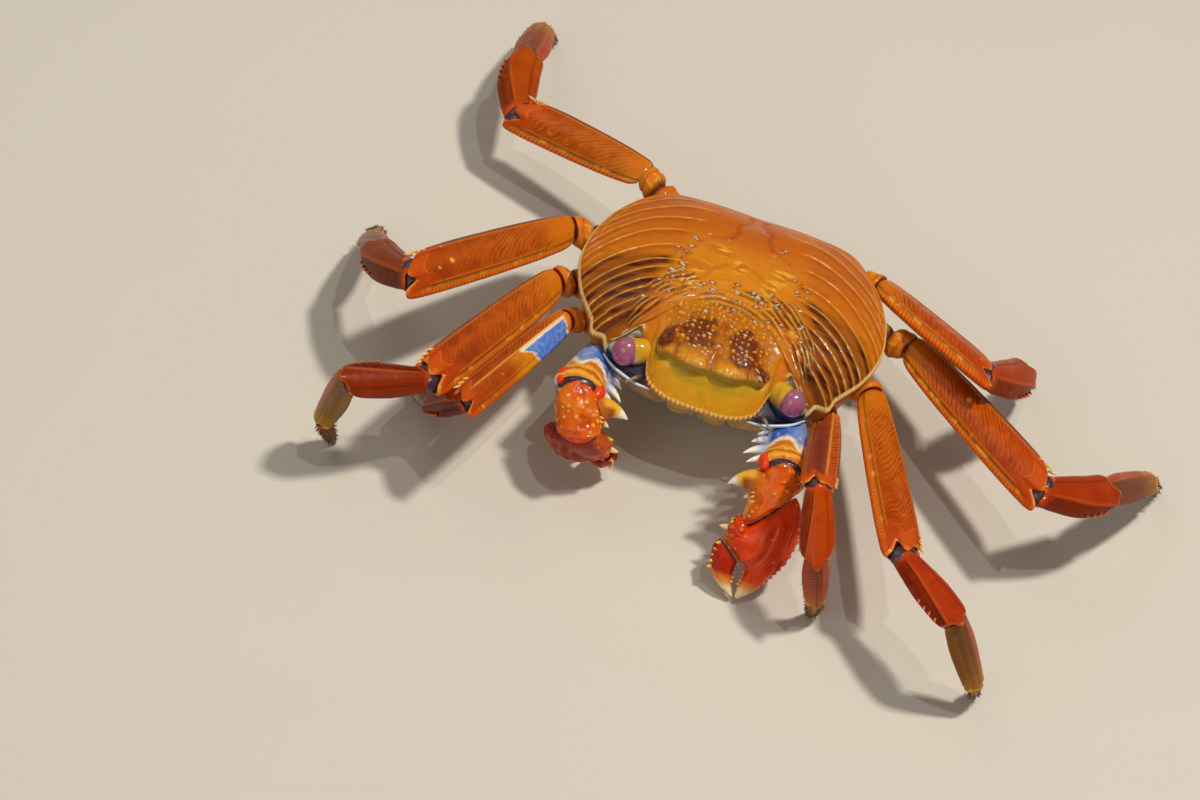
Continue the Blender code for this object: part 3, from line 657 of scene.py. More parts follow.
def shell_relief(x, y, share, front):
    """(height in mm, colour, crests) over the shell's top, from level trunk coordinates in mm."""
    ax = abs(x)
    place = flat(x, y)
    broad, fine = noise(place, 9.0, 3), noise(place, 1.6, 5)
    top = 1 - front
    course = y + STRIA_BEND * np.maximum(ax - STRIA_BEND_FROM, 0) ** 2 + 0.55 * broad

    # Regions.
    gastric = top * ramp(16.5, 12.5, ax + 1.2 * broad) * ramp(-5.0, -8.5, y + 0.012 * ax**2)
    middle = top * ramp(20.0, 13.0, ax) * ramp(-10.0, -6.0, y) * ramp(4.5, 1.0, y + 0.6 * broad)
    flank = top * ramp(13.0, 18.0, ax)
    corner = flank * ramp(17.5, 22.5, ax) * ramp(10.5, 5.5, course - 0.35 * (ax - 25))

    # Colour of the ground.
    colour = layers(
        ORANGE,
        (REAR_ORANGE, ramp(2, 24, y)),
        (GOLD, 0.5 * top * ramp(19, 12, ax) * ramp(24, 12, y)),
        (RED_ORANGE, 0.12 * ramp(0.1, 0.9, noise(place, 14.0, 31)) * flank),
        ((0.30, 0.045, 0.003), 0.35 * flank * ramp(0.15, 0.85, noise(place * (0.35, 1.0, 1.0), 2.4, 33))),
    )
    wrinkle = ramp(-0.15, 0.25, noise(place * (0.4, 1.2, 1.0) + flat(np.zeros_like(x), 0.25 * ax), 1.15, 35))
    golden = top * spots(x + 0.8 * fine, y + 0.8 * broad, GOLD_SPOTS, 0.6)
    colour = layers(
        colour,
        ((0.46, 0.11, 0.004), 0.5 * golden * (1 - wrinkle)),
        ((0.86, 0.48, 0.04), 0.75 * golden * wrinkle),
        (GASTRIC, 0.85 * gastric),
    )

    height = 0.14 * golden * wrinkle
    for cx, cy, rx, ry, soft, rise in SWELLINGS:
        height = height + rise * spot(ax, y, cx, cy, rx, ry, soft)

    # Raised lines, with dark bands between them in the front corners.
    band, crest = np.zeros_like(x), np.zeros_like(x)
    bead = 0.8 + 0.2 * noise(place, 0.9, 11)
    for level, begins in STRIAE + HALF_STRIAE:
        whole = (level, begins) in STRIAE
        past = course - level
        reach = ramp(begins - 2.0, begins + 4.0, ax + 1.8 * fine) * top
        height = height + STRIA_HEIGHT * (1.0 if whole else 0.5) * ridge(past, 0.22, 0.85) * reach * bead
        crest = np.maximum(crest, ridge(past, 0.18, 0.28) * reach * (1.0 if whole else 0.6))
        if whole:
            band = np.maximum(band, ramp(-2.9, -0.5, past) * ramp(0.0, -0.35, past))
    # Elsewhere on the flanks, a darker band in front of each line: partly the shell's own tone, partly
    # painted shade on each ridge's steep front face.
    colour = mix(colour, (0.34, 0.06, 0.002), 0.5 * band * flank * (1 - corner))
    dark = np.clip(corner * (0.58 + 0.8 * band), 0, 1)
    inner_band = flank * ramp(27, 20, ax) * ramp(16.5, 19.5, ax)
    inner_band = inner_band * ramp(2.6, 3.6, course) * ramp(7.6, 5.6, course)
    streaks = ramp(-0.35, 0.45, noise(place * (0.25, 1.6, 1), 2.2, 17, 3))
    colour = mix(colour, MAROON, np.clip(np.maximum(dark * (0.75 + 0.25 * streaks), 0.9 * inner_band), 0, 1))
    rear_lines = peak(share, 0.945, 0.006) + 0.7 * peak(share, 0.972, 0.005)
    rear_lines = rear_lines * top * ramp(8, 16, y) * ramp(2, 10, ax)
    height = height + 0.16 * rear_lines
    crest = np.maximum(crest, 0.7 * rear_lines)
    colour = layers(
        colour,
        (YELLOW, np.clip(crest * (0.62 + 0.3 * fine), 0, 1)),
        (RUST, 0.5 * top * ramp(8, 20, y) * peak(share, 0.99, 0.01)),
    )

    # Short oblique ridges behind the stomach region and out to the front corners.
    sweep = y + 0.032 * ax**2 + 0.9 * broad + 0.3 * noise(place, 3.4, 13)
    slope = top * ramp(24.5, 20.5, ax) * ramp(-3.5, 0.0, sweep) * ramp(6.0, 3.4, sweep - 0.22 * ax)
    step = sweep / SHORT_APART - np.floor(sweep / SHORT_APART + 0.5)
    broken = ramp(-0.5, -0.05, noise(place * (0.45, 1.0, 1.0), 2.8, 19))
    short = ridge(step * SHORT_APART, 0.22, 0.6) * broken * np.clip(slope + 0.85 * middle, 0, 1)
    height = height + SHORT_HEIGHT * short
    shade = np.maximum(slope * ramp(6.0, 12.0, ax), 0.7 * middle)
    shade = shade * ramp(-0.62, -0.25, step) * ramp(0.12, -0.06, step)
    colour = layers(
        colour,
        (MAROON, 0.92 * shade * broken),
        (YELLOW, 0.75 * short),
    )

    # Blotches and tubercles of the stomach region.
    blotch = spots(x, y, BLOTCHES, 0.22, 1 + 0.35 * noise(place, 2.2, 23) + 0.2 * fine)
    away, number = cells(place, KNOB_APART, 29, 0.6)
    size = (0.17 + 0.20 * number**2) * (number > 0.10)
    knob = dome(away, np.maximum(size, 0.01)) * gastric * ramp(0.80, 0.76, share)
    height = height + KNOB_HEIGHT * knob * (0.5 + number)
    grain_away, grain_number = cells(place, GRAIN_APART, 57, 0.7)
    grain = dome(grain_away, 0.3) * (grain_number > 0.45) * (0.6 * middle + 0.5 * slope + 0.45 * gastric)
    height = height + GRAIN_HEIGHT * grain
    colour = layers(
        colour,
        (BLOTCH, 0.92 * blotch * top),
        ((0.34, 0.10, 0.004),
         0.45 * gastric * (1 - blotch) * ramp(0.20, 0.45, away) * ramp(0.9, 0.7, away)),
        ((0.84, 0.34, 0.02), 0.95 * ramp(0.15, 0.75, knob)),
        (GOLD, 0.5 * grain),
    )

    # Grooves between the regions.
    for path, depth in GROOVES:
        away = line_distance(ax + 0.5 * fine, y + 0.5 * broad, path)
        height = height - depth * peak(away, 0, 0.95) * top
        colour = mix(colour, RUST, min(1.4 * depth, 0.5) * peak(away, 0, 0.7) * top)

    # Pale chips ringed with brown, mostly where the long ridges end, and painted glints: pale specks on the
    # crests.
    zone = peak(line_distance(ax, y, CHIP_COURSE), 0, 1.7)
    chip_away, chip_number = cells(place * (0.55, 1.0, 1.0), CHIP_APART, 89, 0.9)
    chip_away = chip_away + 0.13 * noise(place, 0.8, 87, 1)
    allowed = np.clip(zone + 0.5 * middle + 0.3 * gastric + 0.25 * slope, 0, 1) * top * ramp(28, 24, y)
    chosen = (chip_number > 1.0 - 0.42 * allowed) * ramp(0.05, 0.2, allowed)
    chip = ramp(0.27, 0.15, chip_away) * chosen
    height = height + CHIP_HEIGHT * chip
    # Painted glints: pale gold specks on the crests, knobs and short ridges, painted where wet highlights
    # catch.
    painted_glints = ramp(0.34, 0.58, noise(place, 1.15, 61, 1)) * ramp(-0.1, 0.35, noise(place, 6.0, 67, 1))
    painted_glints = painted_glints * np.clip(crest * 0.55 + short + 0.6 * knob * (1 - blotch * 0.4), 0, 1)

    # The four lobes of the brow, which overhang the front plate.
    scallop = brow_lobes(ax)
    brow = top * (y < BEHIND_BROW)
    lip = brow * ramp(0.79, 0.86, share)
    rim = brow * ramp(0.868, 0.88, share) * scallop * dome(cells(place, LOBE_BEAD, 83, 0.5)[0], 0.34)
    height = height + lip * (scallop - 0.4) + 0.16 * rim
    colour = layers(
        colour,
        ((0.13, 0.025, 0.006), 0.8 * ramp(0.52, 0.32, chip_away) * chosen),
        ((0.66, 0.56, 0.42), 0.85 * chip),
        ((0.90, 0.72, 0.44), np.minimum(painted_glints, 0.85) * ramp(30, 22, y)),
        ((0.80, 0.36, 0.02), 0.5 * lip * scallop * (1 - blotch)),
        ((0.88, 0.46, 0.05), 0.7 * rim),
        ((0.30, 0.12, 0.01), 0.6 * lip * ramp(0.5, 0.1, scallop) * ramp(15.4, 14.6, ax)),
    )
    return height, colour, crest


def front_relief(x, y, z, share, arc, front):
    """(height, colour) over the front plate below the brow."""
    ax = abs(x)
    place = np.stack([x, y, z], -1)
    down = np.clip((share - BROW_RING) / (1 - BROW_RING), 0, 1)
    soft = noise(place, 5.0, 71)
    lobe = brow_lobes(ax)
    bead = bead_row(arc, FRONT_BEAD)
    edge = ramp(0.93, 1.0, down)
    colour = layers(
        (0.84, 0.46, 0.012),
        ((0.80, 0.36, 0.012), ramp(0.45, 0.8, down)),
        ((0.80, 0.30, 0.01), 0.5 * ramp(7, 14, ax)),
        # Painted shade under the brow: the plate's top is darker olive, most below the lobes; partly its own
        # olive tone.
        ((0.42, 0.27, 0.02), 0.9 * ramp(0.48, 0.15, down + 0.06 * soft - 0.06 * lobe)),
        ((0.62, 0.50, 0.20), 0.6 * ramp(0.1, 0.04, down) * lobe),
        ((0.44, 0.28, 0.015), 0.35 * ramp(0.0, 0.7, noise(place, 3.2, 79))),
        (CREAM, edge * (0.35 + 0.6 * bead)),
        (RUST, 0.7 * edge * ramp(0.35, 0.0, bead)),
    )
    granule = dome(cells(place, 0.8, 73, 0.75)[0], 0.34) * ramp(0.55, 0.95, down)
    under = (1.2 * lobe - 0.35) * ramp(0.12, 0.0, down) - peak(down, 0.2, 0.12) * ramp(15.5, 13.0, ax)
    hollow = -0.5 * peak(down, 0.55, 0.3) * ramp(13, 8, ax)
    height = under + hollow + 0.2 * granule + edge * (0.12 + 0.5 * bead)
    return height * front, colour


def build_carapace(look):
    edge, arc = whole_margin(SHELL_COLUMNS)
    top_shares = np.linspace(FIRST_SHARE, BROW_RING, TOP_ROWS, endpoint=False)
    shares = np.concatenate([top_shares, np.linspace(BROW_RING, LAST_SHARE, FRONT_ROWS)])[:, None]
    points = np.stack([edge[:, 0] * shares, edge[:, 1] * shares, shell_height(edge, shares)], -1)
    share = np.broadcast_to(shares, points.shape[:2])
    x, y, z = np.moveaxis(points, -1, 0)
    along = np.broadcast_to(arc, x.shape)
    front = ramp(BROW_RING - 0.003, BROW_RING + 0.012, share) * ramp(16.4, 13.8, abs(x)) * (y < 0)
    height, colour, crest = shell_relief(x, y, share, front)
    over_edge = abs(x) / share
    orbit = ramp(ORBIT_BEGINS, ORBIT_BEGINS + 0.8, over_edge) * ramp(ORBIT_ENDS, ORBIT_ENDS - 0.8, over_edge)
    orbit = orbit * (y < -11)
    through = np.clip((over_edge - ORBIT_BEGINS) / (ORBIT_ENDS - ORBIT_BEGINS), 0, 1)
    lining = ORBIT_LINING * np.sin(through * pi) ** 0.6 * (0.15 + 1.7 * ramp(18.0, 25.0, over_edge))
    inland = np.hypot(x, y) * (1 / share - 1)
    sunken = orbit * ramp(lining, lining - 0.5, inland)
    brim = orbit * peak(inland, lining + 0.45, 0.34) * ramp(0.3, 1.2, lining)
    height = height * (1 - 0.8 * orbit * ramp(lining + 1.5, lining + 0.5, inland))
    height = height - 0.8 * sunken + 0.42 * brim
    colour = layers(
        colour,
        (ORBIT_SHADE, sunken * (0.85 + 0.1 * noise(points, 1.2, 93))),
        (SHELL_RIM, 0.95 * brim),
    )
    more, plate = front_relief(x, y, z, share, along, front)
    height = height * ramp(1.02, 0.965, share) + more
    # The cream rim, finely beaded, round the sides.
    side = (1 - front) * ramp(30.0, 20.0, y) * (1 - orbit)
    bead = bead_row(along, RIM_BEAD)
    rim = side * ramp(0.982, 0.99, share)
    height = height + rim * (0.05 + 0.12 * bead)
    colour = layers(colour, (plate, front), (SHELL_RIM, rim * (0.65 + 0.35 * bead)))
    gloss = np.clip(0.55 + 0.2 * noise(points, 3.0, 91) + 0.2 * crest, 0, 1)
    points = raised(points, height, (0, 0, -30))
    floor = edge[:, 2] - SHELL_EDGE - SHELL_FLOOR
    rings = [points[-1:] - (0, 0, drop) for drop in EDGE_STEPS]
    for t in FLOOR_SHARES:
        rings.append(np.stack([edge[:, 0] * t, edge[:, 1] * t, SHELL_FLOOR + floor * t], -1)[None])
    plain = (1 - orbit[-1:]) * (1 - 0.7 * front[-1:])
    under = np.broadcast_to((0.74, 0.52, 0.22), (len(FLOOR_SHARES), len(edge), 3))
    tints = [
        colour, mix(colour[-1:], (0.62, 0.24, 0.02), 0.6 * plain),
        mix(colour[-1:], (0.48, 0.14, 0.01), 0.85 * plain), under,
    ]
    shines = np.concatenate([gloss, np.full((len(rings), len(edge)), 0.4)])
    points = stance(np.concatenate([points, *rings]))
    show("shell_back", points, np.concatenate(tints), shines, look, "carapace", "carapace")


# ---------------------------------------------------------------- trunk, tail and mouth


def cheek_outline(edge):
    """The trunk's own outline: it runs on below the orbits, and stands back from the edge everywhere else."""
    x, y, z = np.moveaxis(edge, -1, 0)
    cheek = ramp(MOUTH_HALF_WIDTH, MOUTH_HALF_WIDTH + MOUTH_CORNER, abs(x))
    front = MOUTH_FRONT + (CHEEK_FRONT + CHEEK_CURVE * x**2 - MOUTH_FRONT) * cheek
    front = front + (y * FLANK_SHARE - front) * ramp(25.0, 28.5, abs(x))
    ahead = y < CHEEK_BEHIND
    wide = x * np.where(ahead, CHEEK_SHARE, FLANK_SHARE)
    return np.stack([wide, np.where(ahead, front, y * FLANK_SHARE), z], -1)


# Heights of the trunk's flank under the shell, as shares of the way to its outline, and rows below that.
FLANK_ROWS = (0.0, 0.3, 0.6, 0.85)
TRUNK_COLUMNS, TRUNK_ROWS = 420, 60
TRUNK_FLOOR = (0.8, 0.5, 0.2)
# The blue and white lip below each eye: its path, half widths and half depths.
LIP_PATH = (
    (12.6, -26.2, -7.6), (16.0, -26.4, -7.2), (20.0, -25.4, -6.6), (23.6, -23.6, -6.2), (26.4, -21.0, -5.8),
)
LIP_WIDTHS, LIP_DEPTHS = (0.3, 0.42, 0.45, 0.4, 0.2), (0.3, 0.45, 0.45, 0.4, 0.2)
LIP_BEADS = 16
# The bowl that each eye lies in: its middle, half sizes and yaw.
BOWL_CENTRE, BOWL_SIZE, BOWL_YAW = (20.8, -18.9, -4.7), (5.6, 4.2, 4.2), -22.0


def build_trunk(look):
    edge = whole_margin(TRUNK_COLUMNS)[0]
    cheek = cheek_outline(edge)
    lid = SHELL_FLOOR + (edge[:, 2] - SHELL_EDGE - SHELL_FLOOR) * TRUNK_RIM - SEAM
    rim = np.stack([edge[:, 0] * TRUNK_RIM, edge[:, 1] * TRUNK_RIM, lid], -1)
    top = np.minimum(CHEEK_HEIGHT, cheek[:, 2] - CHEEK_DROP)
    first = np.stack([cheek[:, 0], cheek[:, 1], top], -1)
    rows = [rim + (first - rim) * t for t in FLANK_ROWS]
    behind, before, heights = (np.array([row[k] for row in TRUNK_RINGS[::-1]]) for k in range(3))
    low = TRUNK_RINGS[-1][2]
    for f in np.linspace(0, 1, TRUNK_ROWS):
        z = top + (low - top) * f
        back, ahead = smooth_table(z, heights, behind), smooth_table(z, heights, before)
        lengthwise = cheek[:, 1] * np.where(cheek[:, 1] < 0, ahead, back)
        rows.append(np.stack([cheek[:, 0] * back, lengthwise, z], -1))
    rows += [rows[-1] * (t, t, 1) - (0, 0, (1 - t) * (low - TRUNK_BOTTOM)) for t in TRUNK_FLOOR]
    points = np.stack(rows)
    x, y, z = np.moveaxis(points, -1, 0)
    ax = abs(x)
    soft, fine = noise(points, 6.0, 101), noise(points, 1.4, 103)
    face = ramp(-10.0, -16.0, y)
    net = np.maximum(peak((x + z) % 1.5, 0.75, 0.22), peak((x - z) % 1.5, 0.75, 0.22))
    net = net * face * ramp(-6.5, -9, z)
    navy = face * ramp(12.5, 15.0, ax) * ramp(25.5, 23.5, ax) * ramp(-10.5, -8.0, z + 0.6 * soft)
    colour = layers(
        (0.66, 0.44, 0.20),
        ((0.55, 0.20, 0.04), ramp(-14, -8, z + 2 * soft)),
        ((0.72, 0.60, 0.42), ramp(-18, -22, z)),
        ((0.40, 0.24, 0.08), 0.45 * net),
        ((0.52, 0.15, 0.01), ramp(23.0, 26.0, ax) * ramp(-16, -8, z)),
        (NAVY, 0.92 * navy),
        (ORBIT_SHADE, 0.95 * face * ramp(20.5, 22.5, ax) * ramp(28, 27, ax) * ramp(-6.4, -5.4, z)),
        (PALE_BLUE, 0.7 * face * ramp(13, 15, ax) * peak(z, -9.6, 0.5)),
    )
    seams = peak((y + 3.0) % 10.5, 5.2, 0.7) * ramp(-15, -20, z) * ramp(4, 6, ax)
    height = 0.12 * net - 0.35 * seams + 0.05 * fine
    pile = Pile()
    pile.add(stance(raised(points, height, (0, 0, -8))), colour, 0.35)
    for side in SIDES.values():
        grid, t, angle = tube(np.array(LIP_PATH) * (side, 1, 1), LIP_WIDTHS, LIP_DEPTHS, (0, -0.3, 1), 90, 16)
        crest = np.clip(np.sin(angle), 0, 1) * (0.8 + 0.2 * bead_row(t, 1 / LIP_BEADS))
        tint = layers(
            NAVY,
            (PALE_BLUE, ramp(-0.6, 0.4, np.sin(angle))),
            (WHITE, 0.8 * ramp(0.6, 0.9, crest)),
        )
        pile.add(stance(grid), tint, 0.8)
        yaw = radians(side * BOWL_YAW)
        ways = ((cos(yaw), sin(yaw), 0.05 * side), (-sin(yaw), cos(yaw), 0), (0, 0, 1))
        axes = [np.array(way) * size for way, size in zip(ways, BOWL_SIZE)]
        bowl = ellipsoid(np.array(BOWL_CENTRE) * (side, 1, 1), axes, 30, 40)
        x, y, z = np.moveaxis(bowl, -1, 0)
        # The bowl is near black below and at its front and inner parts: partly the navy under the eye, partly
        # painted shade deep in the orbit.
        up = ramp(-8.0, -6.0, z)
        front_part = ramp(-18.8, -20.2, y) * ramp(-2.4, -3.8, z)
        inner_part = ramp(18.4, 17.0, abs(x)) * ramp(-17.0, -19.0, y)
        tint = layers(
            NAVY,
            (ORBIT_SHADE, up),
            ((0.62, 0.60, 0.40), 0.5 * ramp(-0.2, 0.7, noise(bowl, 1.6, 107)) * up),
            (NAVY, np.maximum(front_part, inner_part)),
        )
        pile.add(stance(bowl), tint, 0.6)
    piece("shell_trunk", pile, look, "underside", "thorax")


def tube(path, half_widths, half_depths, face, rows, columns):
    """A smooth sweep along the path: (grid, share along it, angle round it)."""
    at = np.linspace(0, 1, len(path))
    t = np.linspace(0, 1, rows)
    line = np.stack([smooth_table(t, at, path[:, k]) for k in range(3)], -1)
    way = unit(np.gradient(line, axis=0))
    normal = unit(face - way * (way @ face)[:, None])
    broad = np.cross(normal, way)
    angle = tau * np.arange(columns) / columns
    wide, deep = (smooth_table(t, at, half)[:, None, None] for half in (half_widths, half_depths))
    grid = line[:, None] + broad[:, None] * np.cos(angle)[:, None] * wide
    grid = grid + normal[:, None] * np.sin(angle)[:, None] * deep
    return grid, np.broadcast_to(t[:, None], grid.shape[:2]), np.broadcast_to(angle, grid.shape[:2])


TAIL_JOINTS = 6.6


def build_tail(look):
    path = stance([(0.0, y, z) for y, z in PLEON_PATH])
    widths = np.array(PLEON_WIDTHS) / 2
    grid, t, angle = tube(path, widths, [PLEON_DEPTH / 2] * len(widths), (0.0, 0.7, -0.7), 150, 72)
    joint = t * TAIL_JOINTS
    groove = peak(joint - np.floor(joint + 0.5), 0, 0.07) * (joint > 0.5)
    out = np.clip(np.sin(angle), 0, 1)
    soft = noise(grid, 4.0, 111)
    height = (0.35 * out * (1 - groove) + 0.05 * soft) * ramp(1.0, 0.97, t)
    colour = layers(
        (0.72, 0.50, 0.24),
        ((0.58, 0.16, 0.02), ramp(0.4, 0.0, t + 0.08 * soft)),
        (RUST, 0.6 * groove),
        ((0.80, 0.70, 0.50), 0.5 * peak(abs(np.cos(angle)), 1.0, 0.18)),
    )
    show("shell_tail", raised(grid, height), colour, 0.4, look, "underside", "pleon")


# Share along the mouth plate of each joint, and the joint's width.
MOUTH_JOINTS = ((0.42, 0.03), (0.72, 0.025))
MOUTH_ROWS, MOUTH_COLUMNS = 70, 44
MOUTH_FRINGE = 22
FEELER_THINNING = (0.4, 0.36, 0.3, 0.24)
FEELER_RINGS = 9


def build_mouth(look, feeler_look):
    for name, side in SIDES.items():
        path = stance(np.array(MAXILLIPED_PATH) * (side, 1, 1))
        widths = np.array(MAXILLIPED_WIDTHS) / 2
        grid, t, angle = tube(path, widths, [0.8] * 4, (0.0, -0.9, -0.45), MOUTH_ROWS, MOUTH_COLUMNS)
        out = np.clip(np.sin(angle), 0, 1)
        joint = np.clip(sum(peak(t, *place) for place in MOUTH_JOINTS), 0, 1)
        height = 0.3 * out * (1 - joint) + 0.06 * noise(grid, 1.0, 113)
        pile = Pile()
        pile.add(raised(grid, height), mix((0.62, 0.36, 0.10), (0.34, 0.12, 0.03), joint * out), 0.4)
        for k in range(MOUTH_FRINGE):
            row = int((k + 0.5) / MOUTH_FRINGE * (MOUTH_ROWS - 1))
            base = grid[row, MOUTH_COLUMNS // 2 if side > 0 else 0]
            tip = base + np.array([-side, -0.5, -0.4]) * (1.0 + 0.3 * sin(k * 2.1))
            add_spine(pile, base, tip, 0.16, (0.5, 0.3, 0.1), (0.66, 0.5, 0.25), rows=5, sides=5)
        piece(f"mouth_plate_{name}", pile, look, "underside", f"maxilliped_{name}")
        path = stance(np.array(ANTENNA_PATH) * (side, 1, 1))
        slim = np.array(ANTENNA_WIDTHS) * FEELER_THINNING
        grid, t, _ = tube(path, slim, slim, (0, 0, 1), 60, 16)
        rings = bead_row(t, 1 / FEELER_RINGS)
        tint = mix((0.10, 0.06, 0.05), (0.50, 0.42, 0.32), rings * ramp(0.2, 0.5, t))
        grid = raised(grid, 0.06 * rings)
        show(f"feeler_{name}", grid, tint, 0.5, feeler_look, "feeler", f"antenna_{name}")


# The eye's ball: how far along the stalk its middle is, and its half sizes.
BALL_AT, BALL_SIZE = 2.0, (3.4, 3.4, 3.9)
FACET_APART = 0.42
# The stalk: places along it from the eye's middle, half widths and half depths.
STALK_AT = (-4.9, -3.4, -1.2, 1.2, 2.6)
STALK_WIDTHS, STALK_DEPTHS = (1.4, 3.0, 3.2, 3.0, 2.0), (1.6, 3.3, 3.5, 3.4, 2.2)


def build_eyes(stalk_look, cornea_look):
    for name, side in SIDES.items():
        x, y, z = EYE_CENTRE
        yaw = radians(side * EYE_YAW)
        long_way = np.array([cos(yaw), sin(yaw), 0.0]) * side
        wide_way = np.array([-sin(yaw), cos(yaw), 0.0])
        centre = np.array([side * x, y, z]) + EYE_SHIFTS[name]
        middle = centre + long_way * BALL_AT
        axes = [np.array(way) * size for way, size in zip((long_way, wide_way, (0, 0, 1)), BALL_SIZE)]
        ball = ellipsoid(middle, axes, 64, 80)
        inner = ((ball - middle) @ long_way) / BALL_SIZE[0]
        facets = cells(ball, FACET_APART, 123, 0.35)[0]
        tint = layers(
            (0.54, 0.085, 0.31),
            ((0.42, 0.065, 0.25), ramp(-0.3, 0.8, noise(ball, 2.2, 121))),
            ((0.38, 0.14, 0.13), 0.85 * ramp(-0.1, 0.8, (ball[..., 2] - centre[2]) / 3.5)),
            ((0.16, 0.05, 0.05), 0.8 * peak(inner, -0.72, 0.08)),
            ((0.24, 0.05, 0.15), 0.3 * ramp(0.35, 0.55, facets)),
        )
        show(f"eye_cornea_{name}", stance(ball), tint, 0.95, cornea_look, "eye", f"eye_{name}")
        path = centre + long_way * np.array(STALK_AT)[:, None]
        grid, t, angle = tube(path, STALK_WIDTHS, STALK_DEPTHS, (0, 0, 1), 60, 72)
        high = np.sin(angle)
        ahead = (grid[..., 1] - y) / 3.0
        neck = peak(t, 0.7, 0.05)
        tint = layers(
            (0.62, 0.34, 0.015),
            ((0.36, 0.26, 0.06), ramp(0.2, -0.5, high)),
            ((0.40, 0.22, 0.015), 0.6 * ramp(0.0, 0.6, noise(grid, 1.8, 127))),
            ((0.74, 0.62, 0.30), 0.8 * ramp(0.6, 0.95, -ahead - 0.2 * high)),
            ((0.30, 0.17, 0.04), 0.7 * neck),
        )
        stalk = raised(grid, 0.1 * noise(grid, 1.5, 129) - 0.12 * neck)
        show(f"eye_stalk_{name}", stance(stalk), tint, 0.8, stalk_look, "eye")


# ---------------------------------------------------------------- limbs

# Colours of each walking leg: merus at its base and at its far end, carpus, propodus, dactylus. The
# differences between legs are partly painted shade: the darker values, most of all on the right legs' far
# segments, are darkened for shade.
LEG_HUES = {
    "l1": (
        (0.50, 0.08, 0.003), (0.58, 0.060, 0.001),
        (0.48, 0.050, 0.001), (0.40, 0.045, 0.002), (0.26, 0.10, 0.008),
    ),
    "l2": (
        (0.50, 0.10, 0.003), (0.42, 0.045, 0.001),
        (0.38, 0.030, 0.001), (0.22, 0.075, 0.004), (0.30, 0.13, 0.006),
    ),
    "l3": (
        (0.50, 0.08, 0.003), (0.42, 0.045, 0.001),
        (0.36, 0.030, 0.001), (0.20, 0.030, 0.002), (0.22, 0.06, 0.005),
    ),
    "l4": (
        (0.50, 0.08, 0.003), (0.44, 0.050, 0.001),
        (0.36, 0.040, 0.001), (0.22, 0.030, 0.002), (0.22, 0.06, 0.006),
    ),
    "r1": (
        (0.42, 0.07, 0.003), (0.30, 0.030, 0.001),
        (0.20, 0.020, 0.002), (0.18, 0.025, 0.002), (0.22, 0.08, 0.008),
    ),
    "r2": (
        (0.44, 0.08, 0.003), (0.35, 0.040, 0.001),
        (0.24, 0.022, 0.001), (0.26, 0.120, 0.006), (0.26, 0.12, 0.010),
    ),
    "r3": (
        (0.46, 0.09, 0.003), (0.34, 0.040, 0.001),
        (0.24, 0.032, 0.001), (0.18, 0.030, 0.002), (0.20, 0.05, 0.005),
    ),
    "r4": (
        (0.50, 0.11, 0.003), (0.42, 0.060, 0.001),
        (0.38, 0.050, 0.001), (0.28, 0.040, 0.002), (0.22, 0.06, 0.006),
    ),
}
# Rows and columns of each leg segment's grid.
LEG_GRIDS = {
    "hip": (60, 60), "merus": (210, 96), "carpus": (90, 80), "propodus": (100, 72), "dactylus": (96, 56),
}
# Each segment's notches inside a bend, at its start and its end, and its corner on the outside, in mm.
NOTCHES = {
    "hip": (0, 0.4, 0), "merus": (0.4, 1.6, 0), "carpus": (0.6, 1.8, 2.6), "propodus": (0.9, 0.8, 0.8),
    "dactylus": (0.6, 0, 0),
}
# How deep the bay beside each knee is, at a segment's start and at its end, in mm.
KNEE_BAYS = {
    "hip": (0, 0), "merus": (0, 3.4), "carpus": (0.8, 0.6), "propodus": (0.4, 0.5), "dactylus": (0.5, 0),
}
# How far from each end a segment is rounded off, in mm, and by how much of its size.
SEGMENT_ROUND, ROUND_DEPTH = 0.55, 0.12
# Shares along a segment of its closely spaced first rows; the last ones mirror them.
END_SHARES = (0, 0.004, 0.01, 0.018)


